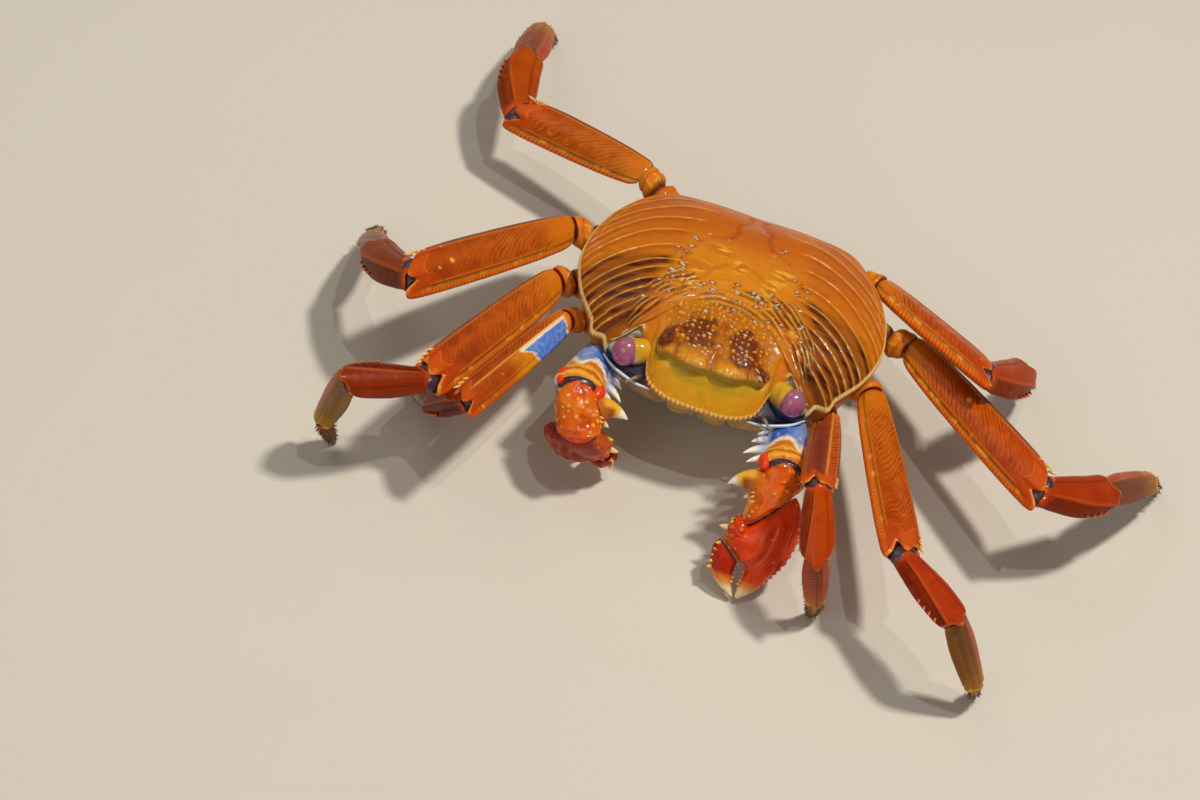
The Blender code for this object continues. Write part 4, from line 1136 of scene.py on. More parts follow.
def limb_grid(
    joints, shape, width, depth, face, counts, bends, notches, keel=1.0, outside=0.0, knee=None, arches=(0, 0)
):
    """One limb segment between two joint planes as a grid: (points, its coordinates).

    The coordinates are s, the share along; v and n, from -1 to 1 on the broad and the deep axis; x, as v but
    in mm; and the segment's length in mm, its points and its three axes.
    """
    (start, start_normal), (end, end_normal) = joints
    length = np.linalg.norm(end - start)
    axis = (end - start) / length
    broad, normal = across(axis, face)
    table = np.array(shape)
    rows, columns = counts
    first = np.array(END_SHARES)
    share = np.concatenate([first, np.linspace(0.026, 0.974, rows - 2 * len(first)), 1 - first[::-1]])
    breadth = smooth_table(share, table[:, 0], table[:, 1])[:, None]
    shift = smooth_table(share, table[:, 0], table[:, 2])[:, None]
    away = np.minimum(share, 1 - share)[:, None] * length
    rounding = 1 - ROUND_DEPTH * peak(away, 0, SEGMENT_ROUND)
    half_width = breadth * width / 2 * rounding
    half_depth = (1 - DEPTH_TAPER * (1 - breadth)) * depth / 2 * rounding
    angle = tau * np.arange(columns)[None] / columns
    c, s = np.cos(angle), np.sin(angle)
    c, s = abs(c) ** keel * np.sign(c), abs(s) ** keel * np.sign(s)
    x, y = half_width * c, half_depth * s
    foot = start + broad * (x + outside * shift * width)[..., None] + normal * y[..., None]
    near = ((start - foot) @ start_normal) / (axis @ start_normal)
    far = ((end - foot) @ end_normal) / (axis @ end_normal)
    radial = unit(broad * x[..., None] + normal * y[..., None])
    near = near + notches[0] * ramp(0.15, 0.95, radial @ bends[0])
    far = far - notches[1] * ramp(0.15, 0.95, radial @ bends[1])
    far = far + notches[2] * ramp(0.35, 1.0, -(radial @ bends[1])) ** 2
    near, far = near + arches[0] * c**2, far + arches[1] * (c**2 - 0.4)
    if knee is not None:
        # A dark bay beside the knee's rounded lobe, on the top and towards the front.
        side, near_bay, far_bay = knee
        bay = ramp(-0.1, 0.4, s) * peak(c * side, -0.47, 0.24)
        lobe = ramp(-0.1, 0.4, s) * peak(c * side, 0.12, 0.3)
        near = near + near_bay * bay
        far = far - far_bay * bay + 0.5 * far_bay / (far_bay + 1) * lobe
    points = foot + axis * (near + (far - near) * share[:, None])[..., None]
    coordinates = {
        "s": share[:, None] * np.ones_like(c), "v": c * np.ones_like(breadth), "n": s * np.ones_like(breadth),
        "x": x, "length": length, "points": points, "axis": axis, "broad": broad, "normal": normal,
    }
    return points, coordinates


def bends_of(ways):
    """The way that the inside of each joint's bend looks; zero at a limb's ends and where it hardly bends."""
    steps = [after - before for before, after in zip(ways, ways[1:])]
    middle = [unit(step) if np.linalg.norm(step) > 0.05 else np.zeros(3) for step in steps]
    return [np.zeros(3), *middle, np.zeros(3)]


def leg_joints(name):
    start, _, *lengths, (yaw, pitch) = LEGS[name]
    side = SIDES[name[0]]
    x, y, z = HIP_ROOTS[name[1]]
    points = [np.array([side * x, y, z]), np.array(start)]
    for length, segment_yaw, segment_pitch in lengths:
        points.append(points[-1] + heading(segment_yaw, segment_pitch) * length)
    way = heading(yaw, pitch)
    points.append(points[-1] - way * (points[-1][2] / way[2]))
    steps = [b - a for a, b in zip(points, points[1:])]
    middle = [joint_normal(a, b) for a, b in zip(steps, steps[1:])]
    return list(zip(points, [unit(steps[0]), *middle, np.array([0, 0, -1.0])]))


# Fine oblique lines of the thigh and of the propodus: their slant in degrees, and how far apart they are.
MERUS_SLANT, MERUS_LINES = 52.0, 1.15
PROPODUS_SLANT, PROPODUS_LINES = 25.0, 1.1
# How far apart the beads of the thigh's lower keel are.
KEEL_BEAD = 1.15
# On the first pair's thighs, by side: the place across of the crest, and the front's colour and its strength.
# The left one's darker front is partly painted shade.
FIRST_THIGHS = {1: (0.20, (0.18, 0.028, 0.018), 1.0), -1: (0.16, (0.40, 0.065, 0.004), 0.6)}


def reading(g, side, seed, broad, small):
    """A segment's share along, place across, height round it, points, and a broad and a small noise."""
    p = g["points"]
    return g["s"], g["v"] * side, g["n"], p, noise(p, broad, seed), noise(p, small, seed + 3)


def striation(g, slant, apart, seed):
    """Fine oblique lines across a segment: (profile from 0 to 1, place across them counted in lines)."""
    wobble = 0.5 * noise(g["points"], 6.0, seed)
    over = (g["s"] * g["length"] * cos(slant) + g["x"] * sin(slant) + wobble) / apart
    step = over - np.floor(over)
    broken = ramp(-0.5, 0.1, noise(g["points"], 2.2, seed + 1))
    return ramp(0.0, 0.25, step) * ramp(1.0, 0.45, step) * broken, over


def paint_merus(g, base, far, side, seed, first):
    s, v, n, p, soft, fine = reading(g, side, seed, 7.0, 1.2)
    slant = radians(MERUS_SLANT) * side
    lines, over = striation(g, slant, MERUS_LINES, seed + 5)
    face = ramp(0.05, 0.3, n) * ramp(0.76, 0.66, v) * ramp(-0.78, -0.66, v)
    # Short dark strokes laid along the same lines, and a few golden dots.
    down = g["x"] * cos(slant) - s * g["length"] * sin(slant)
    row = np.floor(over + 0.5)
    stroke = peak(over - row, 0.0, 0.2) * ramp(-0.6, 0.1, noise(p, 8.0, seed + 19))
    stroke = stroke * ramp(-0.15, 0.25, noise(flat(2.7 * row, 0.4 * down), 1.0, seed + 17, 1))
    away, number = cells(p, 5.2, seed + 9, 0.9)
    dots = ramp(0.17, 0.1, away) * (number > 0.62) * ramp(-0.1, 0.2, n)
    # The lower keel: a beaded red line beside an olive groove.
    bead = bead_row(s * g["length"], KEEL_BEAD)
    keel = peak(v, -0.97, 0.10) * ramp(0.0, 0.06, s)
    groove = peak(v, -0.82, 0.06 + 0.05 * ramp(0.6, 0.1, s)) * ramp(-0.1, 0.2, n) * ramp(0.96, 0.9, s)
    line = peak(v, -0.68, 0.03) * ramp(0.0, 0.2, n) * ramp(0.9, 0.85, s)
    speckled = mix((0.34, 0.17, 0.02), (0.84, 0.46, 0.06), ramp(0.1, 0.5, noise(p, 1.9, seed + 11)))
    # The upper edge: a thin pale crest, then a dull narrow facet.
    crest = peak(v, 0.74, 0.035) * ramp(-0.1, 0.15, n)
    facet = ramp(0.76, 0.82, v)
    # The far end: a redder rounded tile outlined by a pale line.
    reach = s + 0.03 * abs(v - 0.2)
    across_tile = ramp(-0.32, -0.22, v) * ramp(0.60, 0.52, v) * ramp(0.0, 0.3, n)
    tile = ramp(0.905, 0.925, reach) * across_tile
    outline = peak(reach, 0.908, 0.006) * across_tile
    colour = layers(
        base,
        (far, ramp(0.35, 0.95, s + 0.08 * soft)),
        ((0.66, 0.19, 0.005), 0.8 * ramp(0.36, 0.0, s + 0.06 * soft)),
        ((0.18, 0.020, 0.002), 0.34 * face * (1 - lines) * ramp(0.05, 0.2, s)),
        ((0.72, 0.20, 0.01), 0.14 * face * lines * ramp(0.5, 1.0, lines)),
        ((0.70, 0.13, 0.01), 0.25 * face * peak(v, 0.15 + 0.1 * soft, 0.3)),
        ((0.10, 0.012, 0.003), 0.5 * stroke * face * ramp(0.06, 0.2, s) * ramp(0.93, 0.8, s)),
        ((0.88, 0.46, 0.04), 0.9 * dots),
        (speckled, 0.85 * groove),
        ((0.70, 0.16, 0.006), 0.8 * line),
        ((0.72, 0.10, 0.003), 0.9 * keel),
        ((0.92, 0.36, 0.02), 0.5 * keel * ramp(0.6, 0.95, bead)),
        ((0.20, 0.06, 0.02), 0.85 * facet * ramp(0.98, 0.9, s)),
        ((0.76, 0.22, 0.02), 0.6 * crest),
        ((0.54, 0.060, 0.003), 0.55 * ramp(0.80, 0.95, s)),
        ((0.60, 0.09, 0.004), 0.6 * tile),
        ((0.80, 0.19, 0.02), 0.5 * outline),
        ((0.88, 0.30, 0.03), 0.8 * ramp(0.985, 0.996, s)),
        ((0.62, 0.34, 0.06), 0.75 * ramp(-0.1, -0.4, n) * ramp(0.75, 0.1, s)),
    )
    height = 0.07 * lines * face * ramp(0.03, 0.1, s) * ramp(0.97, 0.9, s)
    height = height + 0.16 * keel * (0.6 + 0.4 * bead) - 0.28 * groove + 0.16 * line
    height = height + 0.34 * crest - 0.12 * facet + 0.3 * tile + 0.1 * outline
    if first:
        # A beaded cream crest divides the upper face of the first pair's thigh from its front face.
        level, dark, strength = FIRST_THIGHS[side]
        crest = peak(v, level, 0.05) * ramp(0.93, 0.86, s) * ramp(-0.1, 0.2, n) * (0.5 + 0.5 * bead)
        front = ramp(level, level - 0.12, v) * ramp(0.95, 0.88, s) * ramp(-0.4, 0.0, n)
        depth = 0.55 + 0.45 * peak(v, -0.25, 0.35) * ramp(0.0, 0.5, s)
        # The front face is darker, most on the left leg: its own colour, partly painted shade.
        colour = layers(colour, (dark, strength * depth * front), ((0.88, 0.46, 0.08), 0.85 * crest))
        height = height + 0.35 * crest - 0.25 * front
    if first and side < 0:
        # The right one has a blue patch there, fringed with cream.
        ragged = s + 0.012 * soft + 0.012 * fine
        end = ragged - 0.10 * v
        edge = level - 0.16 + 0.04 * fine
        patch = ramp(0.06, 0.075, ragged) * ramp(0.45, 0.43, end) * ramp(edge, edge - 0.08, v)
        fringe = ramp(0.04, 0.07, ragged) * ramp(0.46, 0.44, end) * ramp(level + 0.02, level - 0.06, v)
        top = ramp(-0.5, -0.1, n)
        streak = ramp(-0.2, 0.7, noise(p * (1, 1, 0.4), 0.8, seed + 13))
        colour = layers(
            colour,
            ((0.72, 0.24, 0.01), 0.8 * front * ramp(0.62, 0.45, ragged)),
            ((0.92, 0.78, 0.46), 0.9 * fringe * top),
            (mix((0.075, 0.19, 0.64), PALE_BLUE, 0.35 * streak), patch * top),
        )
        height = height + 0.28 * groove * patch
    return height + 0.03 * fine, colour, np.clip(0.6 + 0.2 * lines + 0.15 * soft, 0, 1)


def paint_carpus(g, base, seed, outer):
    """outer is +1 where the outside of the next bend lies at v = 1, and -1 where it lies at v = -1."""
    s, w, n, p, soft, fine = reading(g, outer, seed, 4.0, 1.0)
    plate = ramp(-0.1, 0.15, n) * ramp(0.03, 0.15, s) * ramp(0.99, 0.93, s)
    # A sharp keel runs out to the far corner, with a darker facet on the bend's outside.
    course = w - 0.30 - 0.42 * s**2
    keel = peak(course, 0.0, 0.05) * plate
    facet = ramp(0.02, 0.10, course) * plate
    inner = peak(w, -0.52 - 0.1 * s, 0.06) * plate
    streaks = ramp(0.0, 0.5, noise(p * (0.5, 1.0, 1.0), 1.2, seed + 5))
    away, number = cells(p, 1.9, seed + 9, 0.8)
    grain = dome(away, 0.16) * (number > 0.7) * ramp(-0.1, 0.15, n)
    border = ramp(0.955, 0.98, s)
    colour = layers(
        base,
        (np.multiply(base, (1.25, 1.9, 1.5)), 0.6 * ramp(-0.3, 0.8, soft)),
        (np.multiply(base, 0.35), (0.75 - 0.3 * streaks) * facet),
        (np.multiply(base, 0.4), 0.6 * inner),
        ((0.66, 0.11, 0.005), 0.6 * keel),
        ((0.66, 0.15, 0.01), 0.6 * border),
        ((0.66, 0.07, 0.003), 0.6 * ramp(0.1, 0.0, s)),
        ((0.52, 0.20, 0.03), 0.6 * ramp(-0.15, -0.5, n)),
    )
    height = 0.34 * keel - 0.28 * facet - 0.2 * inner + 0.1 * grain + 0.1 * border + 0.03 * fine
    return height, colour, np.clip(0.65 + 0.2 * soft, 0, 1)


def paint_propodus(g, base, side, seed):
    s, w, n, p, soft, fine = reading(g, side, seed, 5.0, 1.0)
    top = ramp(-0.1, 0.15, n)
    inside = ramp(0.02, 0.12, s) * ramp(0.97, 0.9, s)
    # A dusky middle, a red outer edge and a golden far end.
    dusky = ramp(0.75, 0.15, s + 0.1 * soft) * ramp(0.6, 0.3, w) * ramp(-0.75, -0.3, w)
    keel = peak(w, 0.42, 0.05) * top * inside
    groove = (peak(w, 0.05, 0.06) + peak(w, -0.5, 0.05)) * top * inside
    freckles = ramp(0.25, 0.5, noise(p, 0.9, seed + 7)) * ramp(0.6, 0.8, s)
    lines, _ = striation(g, radians(PROPODUS_SLANT) * side, PROPODUS_LINES, seed + 5)
    knob = ramp(0.945, 0.975, s)
    colour = layers(
        base,
        (np.multiply(base, (1.2, 1.5, 1.2)), 0.5 * ramp(-0.3, 0.9, soft)),
        ((0.13, 0.04, 0.008), 0.6 * dusky),
        ((0.46, 0.04, 0.002), 0.85 * ramp(0.42, 0.58, w + 0.05 * soft) * inside),
        ((0.54, 0.24, 0.015), 0.5 * ramp(0.6, 0.95, s)),
        ((0.62, 0.16, 0.01), 0.6 * keel),
        ((0.16, 0.045, 0.008), 0.5 * groove),
        ((0.22, 0.06, 0.01), 0.5 * freckles),
        ((0.84, 0.38, 0.03), 0.85 * knob),
        ((0.60, 0.06, 0.003), 0.5 * ramp(0.08, 0.0, s)),
    )
    height = 0.26 * keel - 0.2 * groove + 0.15 * knob + 0.05 * lines * top + 0.03 * fine
    return height, colour, np.clip(0.6 + 0.2 * soft, 0, 1)


def paint_dactylus(g, base, side, seed):
    s, v, _, _, soft, fine = reading(g, side, seed, 3.5, 0.8)
    grooves = np.clip(sum(peak(v, at, 0.09) for at in (-0.62, 0.0, 0.62)), 0, 1) * ramp(0.9, 0.7, s)
    colour = layers(
        base,
        ((0.66, 0.32, 0.02), 0.6 * ramp(-0.2, 0.8, soft)),
        ((0.20, 0.055, 0.006), 0.55 * grooves),
        ((0.62, 0.07, 0.004), 0.5 * ramp(0.16, 0.02, s)),
        ((0.05, 0.016, 0.006), 0.95 * ramp(0.84, 0.93, s + 0.02 * soft)),
    )
    return -0.22 * grooves + 0.04 * fine, colour, np.clip(0.5 + 0.2 * soft, 0, 1)


# Where the dark gap in each pair's hip is, as a share along it: just outside the shell.
HIP_GAPS = {"1": 0.80, "2": 0.84, "3": 0.78, "4": 0.74}


def paint_hip(g, side, seed, gap_at):
    s, v, n, _, soft, fine = reading(g, side, seed, 3.0, 0.9)
    gap = peak(s + 0.02 * v + 0.01 * soft, gap_at, 0.035)
    second = peak(s + 0.05 * abs(v), 0.955, 0.012)
    beyond = s - gap_at
    facet = (peak(v, 0.35, 0.06) + peak(v, -0.4, 0.06)) * ramp(0.03, 0.06, beyond) * ramp(0.97, 0.93, s)
    colour = layers(
        (0.60, 0.13, 0.006),
        (GOLD, 0.6 * ramp(-0.3, 0.6, soft)),
        ((0.70, 0.20, 0.008), 0.9 * ramp(0.03, 0.08, beyond)),
        ((0.84, 0.44, 0.05), 0.9 * facet),
        (MEMBRANE, 0.95 * gap),
        ((0.46, 0.03, 0.002), 0.8 * second),
        ((0.55, 0.40, 0.16), 0.5 * ramp(-0.2, -0.6, n)),
    )
    height = 0.3 * peak(beyond, -0.1, 0.05) + 0.45 * peak(beyond, 0.09, 0.05) + 0.35 * facet - 0.9 * gap
    return height - 0.15 * second + 0.04 * fine, colour, np.clip(0.6 + 0.2 * soft, 0, 1)


def place_on(g, s, v, n):
    """A point of the segment's middle line moved out across it."""
    row = int(np.argmin(abs(g["s"][:, 0] - s)))
    ring = g["points"][row]
    middle = ring.mean(axis=0)
    reach = ring - middle
    wide = abs(reach @ g["broad"]).max()
    deep = abs(reach @ g["normal"]).max()
    return middle + g["broad"] * wide * v + g["normal"] * deep * n


# How far apart the folds of the skin in a joint are.
SKIN_FOLD = 0.8
# Joint skin: its size as a share of the leg's, by pair, and how far it reaches at the knee and elsewhere.
SKIN_WIDTHS, SKIN_DEPTH = {"1": 0.36, "2": 0.42, "3": 0.42, "4": 0.42}, 0.38
KNEE_REACH, SKIN_REACH = {"1": 2.4, "2": 3.0, "3": 3.0, "4": 3.0}, 2.0
# The same for a claw's arm, by segment.
ARM_SKIN, ARM_REACH = 0.42, {"merus": 2.0, "carpus": 2.4}


def add_membrane(pile, point, normal, face, half_width, half_depth, reach):
    """The dark folded skin that fills a joint."""
    broad, up = across(normal, face)
    grid = ellipsoid(point, (normal * reach, broad * half_width, up * half_depth), 28, 40)
    folds = bead_row((grid - point) @ normal, SKIN_FOLD)
    tint = mix(MEMBRANE, (0.10, 0.03, 0.05), 0.6 * folds)
    pile.add(raised(grid, 0.1 * folds, point), tint, 0.95)


# The last stations of the dactylus here, sharper than in the CAD.
DACTYLUS_POINT = ((0.93, 0.36, 0.0), (1.0, 0.16, 0.0))
# Colours of a segment's two ends where they aren't both as dark as the joint's skin.
LEG_CAPS = {"hip": (RUST, RUST), "merus": (RUST, MEMBRANE)}


def build_leg(name, look, skin_look, bristle_look):
    side = SIDES[name[0]]
    pair = name[1]
    joints = leg_joints(name)
    face = np.array(LEGS[name][1])
    ways = [unit(b[0] - a[0]) for a, b in zip(joints, joints[1:])]
    outside = KNEE_BULGE[pair]
    if np.dot(across(ways[2], face)[0], ways[1] - ways[3]) < 0:
        outside = -outside
    bends = bends_of(ways)
    widths = LEG_WIDTHS[pair]
    skins, bristles = Pile(), Pile()
    for i, part in enumerate(SEGMENTS):
        seed = 200 + 40 * int(pair) + 7 * i + (300 if side > 0 else 0)
        start = joints[i][0] + joints[i][1] * GAP / 2
        end = joints[i + 1][0] - joints[i + 1][1] * (0 if part == "dactylus" else GAP / 2)
        ends = ((start, joints[i][1]), (end, joints[i + 1][1]))
        shape = LEG_SHAPES[part]
        if part == "dactylus":
            shape = shape[:-1] + DACTYLUS_POINT
        grid, g = limb_grid(
            ends, shape, widths[i], LEG_DEPTHS[i], face, LEG_GRIDS[part], (bends[i], bends[i + 1]),
            NOTCHES[part], LEG_KEEL, outside, (side, *KNEE_BAYS[part]),
        )
        hues = LEG_HUES[name]
        outer = -1 if bends[3] @ g["broad"] > 0 else 1
        if part == "merus":
            height, colour, gloss = paint_merus(g, hues[0], hues[1], side, seed, pair == "1")
        elif part == "carpus":
            height, colour, gloss = paint_carpus(g, hues[2], seed, outer)
        elif part == "propodus":
            height, colour, gloss = paint_propodus(g, hues[3], side, seed)
        elif part == "dactylus":
            height, colour, gloss = paint_dactylus(g, hues[4], side, seed)
        else:
            height, colour, gloss = paint_hip(g, side, seed, HIP_GAPS[pair])
        edge = np.minimum(g["s"], 1 - g["s"]) * g["length"]
        grid = closing(raised(grid, height * ramp(0.0, 0.5, edge)))
        pile = Pile()
        caps = LEG_CAPS.get(part, (MEMBRANE, MEMBRANE))
        pile.add(grid, closed_like(colour, caps), closed_like(gloss))
        add_leg_details(pile, bristles, part, g, side, outer, seed)
        piece(f"plate_{name}_{part}", pile, look, "leg", f"leg_{name}_{part}")
        if i > 1:
            reach = KNEE_REACH[pair] if part == "carpus" else SKIN_REACH
            width, depth = widths[i] * SKIN_WIDTHS[pair], LEG_DEPTHS[i] * SKIN_DEPTH
            add_membrane(skins, *joints[i], face, width, depth, reach)
    piece(f"joint_skin_{name}", skins, skin_look, "leg")
    piece(f"bristles_{name}", bristles, bristle_look, "leg")


# Spines beyond the thigh's upper corner: (share along, length).
THIGH_SPINES = ((0.885, 1.3), (0.925, 1.7), (0.965, 2.3))
# Bristles in rows along a segment, each row's (place across, height round it).
PROPODUS_BRISTLES, PROPODUS_ROWS = 13, ((-0.93, 0.25), (0.93, -0.1))
DACTYLUS_BRISTLES = 17
DACTYLUS_ROWS = ((-0.9, 0.4), (0.9, 0.4), (-0.4, 0.86), (0.4, 0.86), (-0.9, -0.4), (0.9, -0.4))


def add_leg_details(pile, bristles, part, g, side, outer, seed):
    axis, broad, normal = g["axis"], g["broad"] * side, g["normal"]
    if part == "merus":
        for s, length in THIGH_SPINES:
            base = place_on(g, s, 0.84 * side, 0.3)
            tip = base + axis * length + broad * 0.55 + normal * 0.5
            add_spine(pile, base - axis * 0.5, tip, 0.5, (0.80, 0.36, 0.03), CREAM, rows=14, sides=12)
        base = place_on(g, 0.975, -0.86 * side, 0.1)
        tip = base + axis * 2.3 - broad * 0.5
        add_spine(pile, base, tip, 0.85, (0.80, 0.22, 0.01), (0.90, 0.62, 0.16), rows=14, sides=12)
        for v in (0.8, -0.8):
            centre = place_on(g, 0.99, v * side, -0.1)
            lobe = ellipsoid(centre, (axis * 1.0, broad * 0.7, normal * 1.0), 20, 24)
            pile.add(lobe, (0.76, 0.10, 0.004), 0.85)
    if part == "carpus":
        for k in range(4):
            base = place_on(g, 0.60 + 0.1 * k, 0.93 * outer, 0.25)
            tip = base + g["broad"] * outer * 0.75 + axis * 0.5
            hues = (0.52, 0.06, 0.003), (0.72, 0.24, 0.02)
            add_spine(pile, base - axis * 0.3, tip, 0.42, *hues, rows=10, sides=10)
    if part in ("carpus", "propodus"):
        for v in (0.72, -0.72):
            centre = place_on(g, 0.985, v * side, 0.1)
            lobe = ellipsoid(centre, (axis * 1.2, broad * 0.9, normal * 1.2), 18, 22)
            pile.add(lobe, (0.80, 0.32, 0.03), 0.85)
    if part == "propodus":
        for k in range(PROPODUS_BRISTLES):
            s = 0.25 + 0.66 * (k + 0.3 * sin(k * 2.7 + seed)) / PROPODUS_BRISTLES
            for v, n in PROPODUS_ROWS:
                base = place_on(g, s, v * side, n)
                way = broad * np.sign(v) * 0.6 + axis * 0.8
                add_bristle(bristles, base, way, 0.9 + 0.35 * sin(k * 1.9 + v), 0.11, k + v)
    if part == "dactylus":
        for k in range(DACTYLUS_BRISTLES):
            for line, (v, n) in enumerate(DACTYLUS_ROWS):
                s = 0.1 + 0.76 * (k + 0.35 * sin(k * 2.3 + line * 1.7 + seed)) / DACTYLUS_BRISTLES
                base = place_on(g, s, v * side, n * 0.96)
                way = broad * v * 0.75 + normal * n * 0.75 + axis * 0.8
                length = (1.35 - 0.5 * s) * (1 + 0.25 * sin(k * 1.3 + line))
                add_bristle(bristles, base, way, length, 0.17, k + line)


def add_bristle(pile, base, way, length, radius, turn):
    way = unit(way)
    base = np.asarray(base) - way * 0.2
    before = pile.count
    add_spine(pile, base, base + way * (length + 0.2), radius, (0.07, 0.025, 0.01), (0.16, 0.06, 0.02),
              bend=(0.08 * sin(turn), 0.08 * cos(turn), 0.05), gloss=0.5, rows=5, sides=5)
    count = pile.count - before
    step = np.arange(count) / count
    place = np.array([0.5 + base[0] / 260.0, 0.5 + base[1] / 260.0])
    pile.patches.append(place + 0.003 * np.stack([step, (step * 7) % 1], -1))


# ---------------------------------------------------------------- claws


def arm_joints(name):
    root, shoulder, elbow, hub, along, _, wrist_face = (np.array(value) for value in ARMS[name])
    wrist = hub - unit(along) * WRIST_SETBACK
    points = (root, shoulder, elbow, wrist)
    steps = [b - a for a, b in zip(points, points[1:])]
    middle = [joint_normal(a, b) for a, b in zip(steps, steps[1:])]
    return list(zip(points, [unit(steps[0]), *middle, unit(wrist_face)]))


def paint_arm(g, part, inner, seed):
    """inner is +1 where the arm's inner edge lies at v = 1, and -1 where it lies at v = -1."""
    s, w, n, p, soft, fine = reading(g, inner, seed, 4.0, 1.0)
    if part == "hip":
        colour = mix((0.56, 0.22, 0.02), RUST, ramp(0.0, 0.8, soft))
        return 0.05 * fine, colour, 0.5 + 0.1 * soft
    if part == "merus":
        wave = s + 0.05 * soft + 0.03 * fine
        colour = mix((0.60, 0.17, 0.012), (0.30, 0.05, 0.008), 0.6 * ramp(0.2, 0.8, fine))
        # Golden bands across the far end, and the blue patch fringed with white before them.
        streak = ramp(-0.2, 0.6, noise(p * (0.5, 1, 1), 0.8, seed + 5))
        wedge = 0.60 + 0.14 * peak(w, -0.5, 0.3) + 0.08 * peak(w, 0.8, 0.3)
        colour = mix(colour, (0.92, 0.86, 0.66), ramp(0.10, 0.05, wave - wedge) * (0.7 + 0.3 * streak))
        blue = layers(
            BLUE,
            (PALE_BLUE, np.clip(0.55 * ramp(0.0, 0.8, fine) + 0.5 * ramp(0.3, -0.6, w), 0, 1)),
            (NAVY, ramp(0.35, 0.05, s) * ramp(-0.2, 0.6, w)),
        )
        gold = np.maximum(peak(wave, 0.83, 0.03), peak(wave, 0.95, 0.035))
        rim = ramp(0.8, 0.97, -w)
        colour = layers(
            colour,
            (blue, ramp(0.02, -0.05, wave - wedge)),
            ((0.88, 0.42, 0.04), np.minimum(gold, 0.95)),
            ((0.40, 0.09, 0.008), 0.7 * peak(wave, 0.885, 0.018)),
            ((0.88, 0.44, 0.05), 0.8 * rim * ramp(0.5, 0.7, s)),
            ((0.70, 0.78, 0.88), 0.75 * ramp(0.93, 0.99, -w)),
            ((0.80, 0.84, 0.90), 0.7 * ramp(0.72, 0.95, w) * ramp(0.9, 0.7, s)),
            ((0.60, 0.30, 0.06), 0.7 * ramp(-0.2, -0.6, n)),
        )
        height = 0.12 * peak(s, 0.93, 0.03) + 0.25 * rim * ramp(0.1, 0.3, s) + 0.04 * fine
        return height, colour, np.clip(0.65 + 0.2 * soft, 0, 1)
    colour = mix((0.68, 0.10, 0.004), (0.76, 0.18, 0.010), ramp(-0.4, 0.8, soft))
    away, number = cells(p, 1.8, seed + 7, 0.7)
    size = 0.18 + 0.2 * number
    knob = dome(away, size) * (number > 0.2) * ramp(-0.3, 0.1, n)
    folds = ramp(0.0, 0.5, noise(p, 2.4, seed + 11))
    colour = layers(
        colour,
        ((0.86, 0.42, 0.04), 0.85 * ramp(0.3, 0.8, knob)),
        ((0.86, 0.50, 0.10), 0.6 * ramp(0.8, 0.95, w)),
        ((0.50, 0.03, 0.002), 0.5 * ramp(0.85, 0.97, s)),
        ((0.36, 0.035, 0.002), 0.4 * folds),
    )
    height = 0.4 * knob + 0.6 * soft - 0.35 * folds + 0.12 * fine + 0.2 * peak(s, 0.9, 0.04)
    return height, colour, np.clip(0.75 + 0.2 * soft, 0, 1)


def add_hook(pile, base, tip, radius, bend):
    """The great thorn of the wrist: brown at its base, with a golden upper edge and a white point."""
    grid = spine_grid(base, tip, radius, bend, rows=40, sides=32, blunt=0.05)
    t = np.linspace(0, 1, len(grid))[:, None] * np.ones(grid.shape[:2])
    way = unit(grid - grid.mean(axis=1, keepdims=True) + 1e-6)
    high = way[..., 2] + 0.6 * way[..., 1]
    colour = layers(
        (0.50, 0.13, 0.012),
        ((0.30, 0.06, 0.008), 0.6 * ramp(0.2, 0.5, t)),
        ((0.84, 0.40, 0.03), ramp(0.35, 0.8, high) * ramp(0.1, 0.3, t)),
        ((0.86, 0.52, 0.08), ramp(0.5, 0.68, t)),
        (WHITE, ramp(0.66, 0.8, t)),
    )
    pile.add(grid, colour, 0.8)


ARM_GRIDS = {"hip": (40, 48), "merus": (130, 120), "carpus": (110, 130)}
# As NOTCHES: the plates gape on the outside of the elbow, where the skin shows. Its rims are arched, in mm.
ARM_NOTCHES = {"hip": (0, 0, 0), "merus": (0, 0.5, 0), "carpus": (0.3, 0.3, 0)}
ARM_ARCHES = {"hip": (0, 0), "merus": (0, 1.7), "carpus": (1.7, 0)}
ARM_SPINE = (0.40, 0.50, 0.76)
# The skin of the wrist: half its width, half its depth and its reach, in mm.
WRIST_SKIN = (4.2, 2.9, 2.2)


